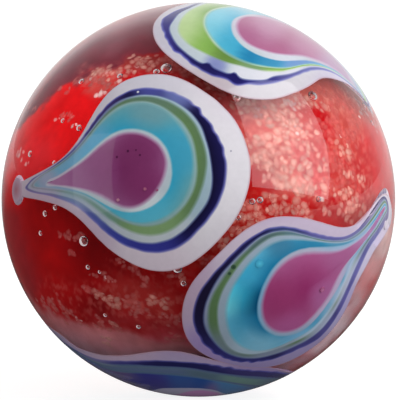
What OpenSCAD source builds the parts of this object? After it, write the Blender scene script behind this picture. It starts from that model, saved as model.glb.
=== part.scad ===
// Glass marble: a red core with grains of pale frit on it, inside a clear ball.
// Raked dots, each a stack of coloured glass, are melted flush into the ball.
// Origin at the centre of the ball, +Z up, millimetres.

/* [Ball] */
// Diameter of the finished marble
marble_d = 32; // [28:0.5:45]

/* [Raked dots] */
// Half angle of a full-size dot's round head, seen from the ball's centre
head_arc = 28.4; // [24:0.2:29]
// Angle from the middle of the head to the end of the raked tail
reach_arc = 51.4; // [40:0.2:53]
// Radius of the tail's end, where the rake left the glass
tail_r = 0.5; // [0.3:0.05:0.9]
// How far each inner dot's tail ends short of the one around it
tail_step = 0.4; // [0.2:0.05:0.6]
// Pull of the rake on an inner dot, as a share of its inset
drift = 0.33; // [0:0.01:0.5]
// Thickness of one dot of the stack once it is melted flat
dot_t = 0.2; // [0.15:0.01:0.25]

/* [Bands, outside to inside] */
// Visible width of the white band
white_w = 1.35; // [0.9:0.05:1.7]
// Visible width of the navy band
navy_w = 0.6; // [0.4:0.05:0.9]
// Width of each thin white line between two colours
line_w = 0.25; // [0.15:0.01:0.35]
// Visible width of the green band
green_w = 0.65; // [0.4:0.05:0.9]
// Visible width of the turquoise band
turquoise_w = 1.3; // [0.8:0.05:1.6]

/* [Core and frit] */
// Clear glass between the undersides of the dots and the tops of the grains
web = 0.2; // [0.1:0.05:1]
// Clear glass between the core and the grains on it
seat = 0.05; // [0.02:0.01:0.2]
// Diameter of the smallest grain of frit
grain_d_min = 0.7; // [0.4:0.05:0.9]
// Diameter of the largest grain of frit
grain_d_max = 1.1; // [0.9:0.05:1.4]
// Number of grains on the core
grain_count = 160; // [20:10:200]

/* [Air bubbles] */
// Diameter of the largest bubble
bubble_d = 0.7; // [0.3:0.05:0.9]
// Depth of the bubbles' centres under the surface of the ball
bubble_depth = 1.2; // [0.8:0.1:1.4]

/* [Hidden] */
$fn = 96;

// Each dot: azimuth and elevation of its head, roll of its tail, size of head
dots = [
  [-108, 18, -83.5, 0.95],
  [-51, 70, 70, 0.90],
  [-60.5, -24, 112, 0.92],
  [-96, -75, -85, 0.72],
  [112, 24, 82, 1.00],
  [56, -24, -66, 0.95]
];

// Each bubble: azimuth, elevation, and its size as a share of the largest
bubbles = [
  [-145, -4, 0.9], [-130, -8, 1], [-115, -24, 0.8], [-72, 9, 0.9],
  [-36, 38, 1], [-106, 52, 0.7], [-150, -34, 0.7], [-12, -24, 0.8],
  [22, 10, 0.9], [40, 42, 1], [150, -24, 0.9], [92, -52, 0.8]
];

// Widths of the bands, outside to inside: the last dot fills what is left
band_widths = [
  white_w, navy_w, line_w, green_w, line_w, turquoise_w, line_w
];
levels = len(band_widths) + 1;

// Distance from the edge of the white dot to the edge of the dot at level k
function inset(k) = k == 0 ? 0 : inset(k - 1) + band_widths[k - 1];

// Levels of the stack that each glass makes
WHITE_LEVELS = [0, 2, 4, 6];
NAVY_LEVEL = 1;
GREEN_LEVEL = 3;
TURQUOISE_LEVEL = 5;
PURPLE_LEVEL = 7;

ball_r = marble_d / 2;
head_r = ball_r * sin(head_arc);
reach = ball_r * sin(reach_arc);

// Radius, from the ball's centre, of the underside of level k
function floor_r(k) = ball_r - (levels - k) * dot_t;

core_r = floor_r(0) - web - grain_d_max - seat;

// Steps along each flank of a tail
flank_steps = 12;

// Half width of a dot at u along its tail: r at its middle c, t at its end l
function tail_half(u, r, c, l, t) =
  t + (r - t) * pow(cos(90 * (u - c) / (l - c)), 2);

// Outline of a tail, from the middle of the head to the tail's end
function tail_outline(r, c, l, t) =
  let (u = [for (i = [0:flank_steps]) c + (l - c) * i / flank_steps])
  concat(
    [for (i = [0:flank_steps]) [u[i], -tail_half(u[i], r, c, l, t)]],
    [for (i = [flank_steps:-1:0]) [u[i], tail_half(u[i], r, c, l, t)]]
  );

// Outline of a dot at level k, raked along +X: round head, tail, round end
module dot_outline(k, size) {
  r = head_r * size - inset(k) * size;
  c = drift * inset(k) * size;
  l = reach - tail_step * k;
  t = tail_r * (1 - k / levels);
  translate([c, 0]) circle(r = r);
  polygon(tail_outline(r, c, l, t));
  translate([l, 0]) circle(r = t);
}

// Turns +Z to a direction on the ball
module aim(azimuth, elevation, roll = 0) {
  rotate([0, 0, azimuth])
    rotate([0, 90 - elevation, 0])
      rotate([0, 0, roll])
        children();
}

// Room for a dot at level k and all that is stacked on it, open at the top
module dot_room(k, size) {
  difference() {
    linear_extrude(height = ball_r + dot_t)
      dot_outline(k, size);
    sphere(r = floor_r(k));
  }
}

// One dot at level k: a shallow dish that holds the next level
module dot(k, size) {
  difference() {
    intersection() {
      dot_room(k, size);
      sphere(r = ball_r);
    }
    if (k < levels - 1) dot_room(k + 1, size);
  }
}

// Level k of every raked dot
module level(k) {
  for (d = dots) aim(d[0], d[1], d[2]) dot(k, d[3]);
}

// Turn from each grain to the next, which spreads them evenly over the core
golden_angle = 137.508;
function spread(i, n) = [i * golden_angle, asin(1 - 2 * (i + 0.5) / n)];

// Grains come in this many sizes, and each is this many sizes on from the last
grain_sizes = 11;
size_stride = 7;

// Grains of frit lying on the core
module grains() {
  step = (grain_d_max - grain_d_min) / (grain_sizes - 1);
  for (i = [0:grain_count - 1]) {
    place = spread(i, grain_count);
    grain_d = grain_d_min + step * ((i * size_stride) % grain_sizes);
    aim(place[0], place[1])
      translate([0, 0, core_r + seat + grain_d / 2])
        sphere(d = grain_d);
  }
}

// Air bubbles in the clear glass between the dots
module air() {
  for (b = bubbles)
    aim(b[0], b[1])
      translate([0, 0, ball_r - bubble_depth])
        sphere(d = bubble_d * b[2]);
}

module clear_glass() {
  color([0.95, 0.97, 1, 0.25]) difference() {
    sphere(r = ball_r);
    sphere(r = core_r);
    grains();
    air();
    for (d = dots) aim(d[0], d[1], d[2]) dot_room(0, d[3]);
  }
}

module red_core() {
  color([0.72, 0.05, 0.07]) sphere(r = core_r);
}

module frit() {
  color([0.93, 0.66, 0.55]) grains();
}

module white_glass() {
  color([0.86, 0.84, 0.87]) for (k = WHITE_LEVELS) level(k);
}

module navy_glass() {
  color([0.08, 0.06, 0.36]) level(NAVY_LEVEL);
}

module green_glass() {
  color([0.42, 0.6, 0.3]) level(GREEN_LEVEL);
}

module turquoise_glass() {
  color([0.17, 0.62, 0.75]) level(TURQUOISE_LEVEL);
}

module purple_glass() {
  color([0.5, 0.18, 0.42]) level(PURPLE_LEVEL);
}

clear_glass();
red_core();
frit();
white_glass();
navy_glass();
green_glass();
turquoise_glass();
purple_glass();
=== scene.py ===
"""Glass marble: raked dots of stacked colour on a clear ball over a red core."""
import math
import random

import bpy
import mathutils
import numpy as np
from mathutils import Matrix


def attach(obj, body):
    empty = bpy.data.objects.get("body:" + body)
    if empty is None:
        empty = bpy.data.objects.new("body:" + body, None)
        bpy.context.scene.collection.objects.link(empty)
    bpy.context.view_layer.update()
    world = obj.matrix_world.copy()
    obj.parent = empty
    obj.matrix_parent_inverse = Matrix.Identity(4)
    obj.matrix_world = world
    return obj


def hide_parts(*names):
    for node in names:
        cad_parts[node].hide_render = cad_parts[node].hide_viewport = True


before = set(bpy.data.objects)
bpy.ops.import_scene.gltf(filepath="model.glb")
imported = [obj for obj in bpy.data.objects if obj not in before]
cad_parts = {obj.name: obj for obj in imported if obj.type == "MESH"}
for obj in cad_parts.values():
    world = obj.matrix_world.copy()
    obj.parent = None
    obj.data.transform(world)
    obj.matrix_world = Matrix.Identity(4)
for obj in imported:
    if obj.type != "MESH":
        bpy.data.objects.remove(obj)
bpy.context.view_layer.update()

# ---------------------------------------------------------------- the ball
BALL_R = 0.016
CORE_R = 0.8156 * BALL_R
# How far the clear ball lies under the dots' faces
GLASS_GAP = 0.00002
GLASS_IOR = 1.5
GLASS_SIDES = 256
BUBBLE_SIDES = 20
BUBBLE_ROWS = 12

# The photograph's frame: the ball's middle and radius in its pixels
PHOTO_X = 198.4
PHOTO_Y = 199.6
PHOTO_R = 197.2
PHOTO_SIZE = 400
PIXEL = BALL_R / PHOTO_R
VIEW_EL = math.radians(10)

SENSOR = 36.0
CAMERA_REACH = 10
CAMERA_DISTANCE = 1.4
# How much nearer things look bigger, from the ball's middle to its front
NEARNESS = BALL_R / CAMERA_DISTANCE

RIGHT = np.array([1.0, 0.0, 0.0])
UP = np.array([0.0, math.sin(VIEW_EL), math.cos(VIEW_EL)])
TOWARD = np.array([0.0, -math.cos(VIEW_EL), math.sin(VIEW_EL)])

# Stands for nothing where a share or a length may not be 0
TINY = 1e-9
# The last share of the ball's radius at which its inside is looked up, and the steps to it
INSIDE_EDGE = 0.999
INSIDE_STEPS = 200
TURN = 2 * math.pi


def unit(v):
    v = np.asarray(v, dtype=float)
    return v / np.linalg.norm(v)


def in_view(px, py):
    """A pixel's place right of and above the ball's middle, in shares of its radius."""
    return (px - PHOTO_X) / PHOTO_R, (PHOTO_Y - py) / PHOTO_R


def rim(clock, depth):
    """A point near the ball's outline: its angle round, and degrees in front of the outline."""
    c, d = math.radians(clock), math.radians(depth)
    reach = PHOTO_R * math.cos(d)
    side = 1 if depth >= 0 else -1
    return (PHOTO_X + reach * math.cos(c), PHOTO_Y - reach * math.sin(c), side)


def on_ball(px, py, side=1):
    """Direction from the ball's middle to what a pixel shows on its surface."""
    x, y = in_view(px, py)
    near = 1 + NEARNESS * side * math.sqrt(max(0.0, 1 - x * x - y * y))
    x, y = x / near, y / near
    z = side * math.sqrt(max(0.0, 1 - x * x - y * y))
    return unit(x * RIGHT + y * UP + z * TOWARD)


def glass_turn(b):
    """Angle round the core of what is seen at b, a share of the ball's radius, through the glass."""
    return np.arcsin(b) + np.arcsin(b * BALL_R / (GLASS_IOR * CORE_R)) - np.arcsin(b / GLASS_IOR)


def in_glass(px, py):
    """Direction to what a pixel shows on the core, through the clear glass."""
    x, y = in_view(px, py)
    b = min(INSIDE_EDGE, math.hypot(x, y))
    turn = glass_turn(b)
    side = unit(x * RIGHT + y * UP) if b > TINY else RIGHT
    return math.cos(turn) * TOWARD + math.sin(turn) * side


def seen_pixels(directions, through_glass):
    """Pixels at which directions from the ball's middle are seen, and how far they face us."""
    d = np.asarray(directions, dtype=float)
    d = d / np.linalg.norm(d, axis=1)[:, None]
    x, y, z = d @ RIGHT, d @ UP, d @ TOWARD
    if through_glass:
        b = np.linspace(0, INSIDE_EDGE, INSIDE_STEPS)
        turn = np.arccos(np.clip(z, -1, 1))
        seen = np.interp(turn, glass_turn(b), b)
        flat = np.maximum(np.hypot(x, y), TINY)
        z = glass_turn(INSIDE_EDGE) - turn
        x, y = x / flat * seen, y / flat * seen
    else:
        x, y = x * (1 + NEARNESS * z), y * (1 + NEARNESS * z)
    return PHOTO_X + PHOTO_R * x, PHOTO_Y - PHOTO_R * y, z


def new_object(name, data):
    made = bpy.data.objects.new(name, data)
    bpy.context.scene.collection.objects.link(made)
    return made


def make_camera():
    half = math.asin(BALL_R / CAMERA_DISTANCE)
    across = 2 * PHOTO_R / PHOTO_SIZE
    data = bpy.data.cameras.new("camera")
    data.sensor_width = SENSOR
    data.lens = across * SENSOR / 2 / math.tan(half)
    data.shift_x = (PHOTO_SIZE / 2 - PHOTO_X) / PHOTO_SIZE
    data.shift_y = (PHOTO_Y - PHOTO_SIZE / 2) / PHOTO_SIZE
    data.clip_end = CAMERA_REACH
    camera = new_object("camera", data)
    camera.location = TOWARD * CAMERA_DISTANCE
    camera.rotation_euler = (math.pi / 2 - VIEW_EL, 0, 0)
    bpy.context.scene.camera = camera


# ---------------------------------------------------------------- shading helpers
def linear(colour):
    """A colour named in 0 to 255, as linear light, by the sRGB curve."""
    c = np.asarray(colour, dtype=float) / 255
    return np.where(c <= 0.04045, c / 12.92, ((c + 0.055) / 1.055) ** 2.4)


class Nodes:
    """Short names for building a node tree."""

    def __init__(self, tree):
        self.tree = tree
        tree.nodes.clear()

    def put(self, value, socket):
        if hasattr(value, "is_output"):
            self.tree.links.new(value, socket)
        else:
            socket.default_value = value

    def add(self, kind, *values, **settings):
        """A new node, with its first inputs set or linked in their order."""
        made = self.tree.nodes.new(kind)
        for name, value in settings.items():
            setattr(made, name, value)
        for socket, value in zip(made.inputs, values):
            self.put(value, socket)
        return made

    def shade(self, kind, *values):
        return self.add(kind, *values).outputs[0]

    def maths(self, how, a, b, clamp=False):
        return self.add("ShaderNodeMath", a, b, operation=how, use_clamp=clamp).outputs[0]

    def mix(self, factor, a, b, how="MIX"):
        made = self.add("ShaderNodeMix", factor, data_type="RGBA", blend_type=how)
        self.put(a, made.inputs[6])
        self.put(b, made.inputs[7])
        return made.outputs[2]

    def ramp(self, factor, stops):
        """Straight steps between greys or colours."""
        made = self.add("ShaderNodeValToRGB", factor)
        made.color_ramp.interpolation = "LINEAR"
        points = made.color_ramp.elements
        while len(points) < len(stops):
            points.new(0.5)
        for point, (place, colour) in zip(points, stops):
            point.position = place
            point.color = (colour, colour, colour, 1) if np.isscalar(colour) else colour
        return made.outputs[0]

    def between(self, factor, low, high, to_low=0.0, to_high=1.0):
        return self.shade("ShaderNodeMapRange", factor, low, high, to_low, to_high)

    def noise(self, scale, detail, rough=0.5):
        made = self.add("ShaderNodeTexNoise", self.add("ShaderNodeTexCoord").outputs["Object"])
        made.inputs["Scale"].default_value = scale
        made.inputs["Detail"].default_value = detail
        made.inputs["Roughness"].default_value = rough
        return made.outputs[0]

    def rays(self):
        """Sockets that are 1 for a mirrored ray, for a refracted one, for one that no matt
        face has scattered, and for one that shows us the background."""
        path = self.add("ShaderNodeLightPath").outputs
        refracted = path["Is Transmission Ray"]
        # a ray refracted by clear glass counts as glossy too
        mirrored = self.maths("SUBTRACT", path["Is Glossy Ray"], refracted, clamp=True)
        unscattered = self.maths("LESS_THAN", path["Diffuse Depth"], 0.5)
        straight = self.maths("ADD", path["Is Camera Ray"], refracted, clamp=True)
        return mirrored, refracted, unscattered, self.maths("MULTIPLY", straight, unscattered)


def new_material(name, **sockets):
    """A material, its nodes and its Principled shader with plain values on its sockets."""
    made = bpy.data.materials.new(name)
    made.use_nodes = True
    n = Nodes(made.node_tree)
    shader = n.add("ShaderNodeBsdfPrincipled")
    for socket, value in sockets.items():
        shader.inputs[socket.replace("_", " ")].default_value = value
    return made, n, shader


# ---------------------------------------------------------------- lamps, world and floor
# Corners of the softbox and of a pale card on the left, in shares of their reach: right,
# up and toward us. The card's plain edge shows as a faint upright line on the glass.
SOFTBOX = [(0.504, 0.123, 0.855), (1.070, 0.0, 0.191), (0.912, 1.150, -0.174), (0.346, 1.273, 0.489)]
SOFTBOX_REACH = 0.33
SOFTBOX_RADIANCE = 2.3
CARD = [(-0.750, -0.114, 0.652), (-0.706, 0.535, 0.464), (-0.884, 0.460, 0.084), (-0.957, -0.100, 0.271)]
CARD_REACH = 0.5
CARD_RADIANCE = 0.7
WHITE_LIGHT = (1.0, 1.0, 1.0, 1.0)
# Tones of the world: in the glass from straight in front to straight behind, by height
# in the glass, and by height as it lights the ball
WORLD_MIRRORED = [(0.0, 0.03), (0.57, 0.06), (0.65, 0.15), (0.76, 0.33), (0.84, 0.5), (0.91, 0.95)]
WORLD_LIFT = [(0.1, 0.45), (0.4, 0.8), (0.6, 1.0)]
WORLD_FILL = [(0.0, 0.2), (0.5, 0.42), (1.0, 0.75)]
LEFT_LAG = 0.25
# A window at the upper left, which the red glass sees through the clear
WINDOW = (-0.62, -0.2, 0.76)
WINDOW_TONES = [(0.35, 0.0), (0.9, 1.0)]
WINDOW_RADIANCE = 1.7
INNER_FILL = 1.6
# Tones of the floor: as it lights the ball, from the ball out to FLOOR_FAR, and in the
# glass from the front left to behind
FLOOR_HALF = 0.6
FLOOR_COLOUR = (150, 148, 146)
FLOOR_WHITE = 0.86
FLOOR_FAR = 0.3
FLOOR_FILL = [(0.0, 0.24), (0.1, 0.34), (0.33, 0.4), (1.0, 0.42)]
FLOOR_BEHIND = (-0.02, 0.3)
FLOOR_MIRRORED = [(0.0, 0.03), (0.15, 0.08), (0.35, 0.5), (1.0, 0.9)]


def area_lamp(name, corners, reach, radiance):
    """A plain rectangular lamp of even radiance, which faces the ball."""
    places = [reach * (c[0] * RIGHT + c[1] * UP + c[2] * TOWARD) for c in corners]
    middle = sum(places) / 4
    along = places[1] - places[0]
    up = places[3] - places[0]
    width = np.linalg.norm(along)
    height = np.linalg.norm(up)
    x = along / width
    if np.dot(np.cross(x, up), middle) < 0:
        x = -x
    z = unit(np.cross(x, up))
    y = np.cross(z, x)
    data = bpy.data.lights.new(name, "AREA")
    data.shape = "RECTANGLE"
    data.size = width
    data.size_y = height
    data.energy = radiance * math.pi * width * height
    lamp = new_object(name, data)
    rows = [[x[i], y[i], z[i], middle[i]] for i in range(3)] + [[0, 0, 0, 1]]
    lamp.matrix_world = mathutils.Matrix(rows)
    return lamp


def make_lamps():
    area_lamp("softbox", SOFTBOX, SOFTBOX_REACH, SOFTBOX_RADIANCE)
    card = area_lamp("card", CARD, CARD_REACH, CARD_RADIANCE)
    card.visible_diffuse = False
    card.visible_transmission = False
    card.visible_camera = False


def make_world():
    world = bpy.data.worlds.new("studio")
    bpy.context.scene.world = world
    world.use_nodes = True
    n = Nodes(world.node_tree)
    mirrored, refracted, _, seen = n.rays()
    way = n.add("ShaderNodeTexCoord").outputs["Generated"]
    across, away, up = n.add("ShaderNodeSeparateXYZ", way).outputs
    # 0 is straight in front of the ball, 1 straight behind it; the left stays dark for longer
    leftward = n.maths("MULTIPLY", n.maths("MINIMUM", across, 0.0), LEFT_LAG)
    depth = n.maths("ADD", n.between(away, -1, 1), leftward)
    height = n.between(up, -1, 1)
    glossy = n.mix(1.0, n.ramp(depth, WORLD_MIRRORED), n.ramp(height, WORLD_LIFT), "MULTIPLY")
    fill = n.ramp(height, WORLD_FILL)
    # the clear ball gathers light for the red glass inside it, most from the upper left
    aimed = n.add("ShaderNodeVectorMath", way, tuple(unit(WINDOW)), operation="DOT_PRODUCT")
    window = n.ramp(aimed.outputs["Value"], WINDOW_TONES)
    window = n.maths("MULTIPLY", window, WINDOW_RADIANCE)
    gathered = n.maths("ADD", n.maths("MULTIPLY", fill, INNER_FILL), window)
    colour = n.mix(refracted, n.mix(mirrored, fill, glossy), gathered)
    light = n.shade("ShaderNodeBackground", n.mix(seen, colour, WHITE_LIGHT))
    n.add("ShaderNodeOutputWorld", light)


def floor_material():
    """Plain pale floor: white where it is seen, with the ball's own soft shadow left on it."""
    made, n, shader = new_material("floor", Base_Color=(*linear(FLOOR_COLOUR), 1.0), Roughness=0.9)
    mirrored, refracted, _, seen = n.rays()
    where = n.add("ShaderNodeNewGeometry").outputs["Position"]
    across, away, _ = n.add("ShaderNodeSeparateXYZ", where).outputs
    # in the glass it is dark in front and at the left, and pale behind
    behind = n.between(n.maths("ADD", across, away), *FLOOR_BEHIND)
    far = n.add("ShaderNodeVectorMath", where, operation="LENGTH").outputs["Value"]
    fill = n.ramp(n.between(far, BALL_R, FLOOR_FAR), FLOOR_FILL)
    gathered = n.maths("MULTIPLY", fill, n.between(refracted, 0, 1, 1, INNER_FILL))
    around = n.shade("ShaderNodeEmission", n.mix(mirrored, gathered, n.ramp(behind, FLOOR_MIRRORED)))
    white = n.shade("ShaderNodeEmission", WHITE_LIGHT, FLOOR_WHITE)
    shown = n.shade("ShaderNodeAddShader", white, shader.outputs[0])
    n.add("ShaderNodeOutputMaterial", n.shade("ShaderNodeMixShader", seen, around, shown))
    return made


def make_floor():
    h = FLOOR_HALF
    corners = [(-h, -h, -BALL_R), (h, -h, -BALL_R), (h, h, -BALL_R), (-h, h, -BALL_R)]
    made = mesh_object("floor", corners, [(0, 1, 2, 3)])
    made.data.materials.append(floor_material())


# ---------------------------------------------------------------- dots' outlines
# Each dot: the middle of its head and the tip of its tail, in the photograph's
# pixels, then the edge of each colour from the outermost in, from the tail's tip round.
# rim() gives a point close to the ball's outline or behind it.
# The points were read off, but a program then smoothed, respaced and thinned DOT_A's.
DOT_A = {
    "middle": (153, 172), "tip": (17, 190), "edges": [
        [(17.5, 190), (19, 194), (22.5, 196.5), (28.5, 198), (37, 199.5), (49, 202.5), (65, 208.5),
         (84, 223.5), (104, 244.5), (128, 261.5), (155.5, 271), (184.5, 266.5), (208.5, 250),
         (229, 228), (244, 202), (250.5, 173.5), (249, 154.5), (239, 127), (221, 104.5), (198, 87.5),
         (172.5, 76), (144, 75), (117, 85.5), (97, 107.5), (82, 133.5), (65.5, 155), (50, 166.5),
         (38, 173), (29.5, 177.5), (23, 181), (19, 185)],
        [(26, 187.5), (32.5, 192), (48, 195), (60, 198.5), (76.5, 205.5), (95.5, 222), (117.5, 240.5),
         (144.5, 251), (173, 249), (196.5, 231.5), (215, 208), (225, 180.5), (222.5, 148),
         (208.5, 122.5), (190, 101.5), (164, 90.5), (136, 89.5), (110, 103), (91, 126), (74.5, 148),
         (59.5, 161.5), (48, 169.5), (39, 175), (32.5, 179), (28.5, 183.5)],
        [(27.5, 187), (30, 189.5), (41, 192.5), (50, 193.5), (62.5, 196.5), (79, 202.5), (99, 218),
         (121.5, 235.5), (149, 243.5), (176.5, 236), (198, 215.5), (211.5, 189), (205.5, 138.5),
         (192, 114), (168.5, 99), (140.5, 95), (113.5, 104.5), (93.5, 126.5), (76, 148), (61.5, 161.5),
         (49.5, 169.5), (34, 179)],
        [(31.5, 186), (39.5, 189), (46.5, 190), (55.5, 191), (68, 193.5), (85, 200.5), (105, 215.5),
         (129.5, 230.5), (157.5, 234.5), (183, 221), (199, 196), (206.5, 167), (205, 148.5),
         (194, 122.5), (173, 104), (146.5, 96.5), (118.5, 103.5), (97, 124), (80, 145.5), (65.5, 159.5),
         (54, 167.5), (45, 173), (38.5, 177.5)],
        [(33, 185.5), (41, 188), (48, 189), (57.5, 190), (70, 192.5), (87, 198.5), (108, 212.5),
         (133.5, 225), (162, 223.5), (184.5, 206), (196.5, 178.5), (191.5, 136.5), (174, 114.5),
         (150, 102), (121.5, 105), (99, 123.5), (81.5, 145), (67.5, 159), (55.5, 167.5), (46.5, 173),
         (40, 177)],
        [(34.5, 185), (43, 187.5), (59.5, 189), (72, 191), (89, 196.5), (110, 211), (136, 222.5),
         (164, 217.5), (185, 198), (193, 169.5), (190, 144.5), (175.5, 120.5), (153, 105), (125, 106.5),
         (101, 124), (83.5, 145), (69, 159), (57, 167.5), (48, 172.5), (41.5, 177)],
        [(46, 185.5), (55, 186.5), (62.5, 187.5), (72, 189.5), (85, 194), (101, 202.5), (124.5, 212),
         (151.5, 206.5), (170.5, 184), (166.5, 148.5), (145.5, 131), (118, 131), (96, 146), (81, 159.5),
         (69, 168.5), (60, 174.5), (53, 178), (48, 180.5)],
        [(47.5, 182.5), (56.5, 185), (64, 185.5), (73.5, 187), (86.5, 190), (104, 197), (127, 207.5),
         (152.5, 195.5), (166, 160.5), (150, 138), (123.5, 133.5), (100, 146), (85, 159.5), (73, 168.5),
         (64, 174.5), (51.5, 181)]]}
DOT_C = {
    "middle": (262, 300), "tip": (386, 203), "edges": [
        [(386, 194), (391, 204), (391.5, 219), (386, 236.5), (376, 248.5), (368.5, 262), (358, 281.5),
         (350.5, 299), (340.5, 318.5), (324, 338.5), (303, 354), (280, 364.5), (255, 368), (230, 364.5),
         (207, 356), (191, 344), (183, 326), (183, 306), (191, 285), (209, 263.5), (229, 243.5),
         (250, 227), (272, 218), (296, 217), (320, 222), (343, 227.5), (358, 223), (369, 211.5),
         (378, 199)],
        [(384.5, 196.5), (388.5, 207), (387.5, 219), (381, 231.5), (372, 243), (364.5, 257), (357, 274),
         (349.5, 290), (341.5, 307.5), (331, 324.5), (318, 338.5), (299, 348.5), (276, 358), (252, 362),
         (229, 359.5), (211, 350), (199.5, 337), (193.5, 319), (197, 299), (207, 282), (222, 265),
         (238, 248.5), (254, 236), (270, 228.5), (288, 227.5), (310, 232.5), (330, 237), (346, 236.3),
         (359, 228), (369, 215.5), (378, 202)],
        [(384.5, 199), (387.5, 208), (385.5, 218.5), (378, 230), (369.5, 241), (361.5, 255.5),
         (354, 271.5), (347, 288), (339, 304.5), (328.5, 321), (315.5, 334.5), (297, 345.5),
         (274, 354.5), (250, 358.5), (228, 353.5), (214, 342), (205, 327), (204, 312), (209.5, 294.5),
         (220, 276), (234, 260), (249, 245.5), (262, 236), (276, 231.3), (291, 231), (310, 236),
         (330, 240), (347, 238.5), (360, 230.5), (370, 219), (379, 205)],
        [(384.8, 201), (387.2, 209), (384.8, 218.5), (377, 229.8), (368.2, 240.5), (360, 254),
         (352.5, 269.5), (345, 286.5), (337, 303), (326.5, 319.5), (313.5, 333.5), (295, 344),
         (272, 353), (247, 356.5), (226, 350.5), (213.5, 337), (208, 319), (211, 300), (221, 281),
         (234, 263.5), (248, 249), (262, 237.5), (276, 232), (291, 232), (310, 237), (330, 240.9),
         (348, 239.5), (361, 231.3), (371, 219.8), (379.5, 207)],
        [(385, 202.5), (386.8, 210), (383.8, 219), (376, 230), (367.3, 240.3), (359, 253),
         (351.5, 268.5), (344, 285), (336, 301.5), (325, 318), (311, 332.5), (292, 343), (267, 352),
         (244, 354), (229, 347.5), (220.5, 334), (217.3, 317), (220, 297), (229.5, 278.5), (243, 260),
         (256, 247.5), (270, 238), (285, 235), (303, 236.3), (322, 240.7), (340, 241.8), (352, 238.8),
         (363, 230.8), (372, 220.5), (380, 208.5)],
        [(385, 203.8), (386.3, 210.5), (383, 219.5), (375.2, 230.2), (366.5, 240.3), (358, 252.5),
         (350.5, 267), (343, 283), (335, 299.5), (323.5, 316), (309, 330.5), (290, 341), (266, 350),
         (246, 348.5), (233, 338), (226.8, 321), (228, 300), (236, 282), (249, 264), (265, 248.5),
         (281, 241), (300, 240.3), (320, 242), (338, 243.2), (352, 240), (363.5, 231.8), (372.7, 221.2),
         (380.5, 209.7)],
        [(385.2, 205), (385.8, 211), (382, 220), (374.3, 230.8), (366, 240.7), (357, 252), (349, 265.5),
         (341.5, 281), (333, 296), (321, 313), (306, 328.5), (290, 335.5), (274, 335), (261.5, 325),
         (257.3, 309), (261, 291), (270, 272.5), (282, 259), (298, 250), (316, 247), (334, 246.3),
         (349, 243), (361, 235.5), (371.5, 225), (380.5, 211.5)],
        [(385, 207), (384.8, 213), (380.5, 221.5), (373.5, 230.8), (365.5, 240), (356, 252), (346, 264),
         (337, 279), (328.5, 296), (316, 312.5), (301, 326.5), (284, 332), (268, 326), (262, 309),
         (265.5, 290), (275, 272.5), (290, 259), (308, 253.2), (327, 252.7), (342, 250.2), (355, 243.2),
         (365.5, 234.3), (375, 221.5), (381.5, 210.5)]]}
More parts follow.
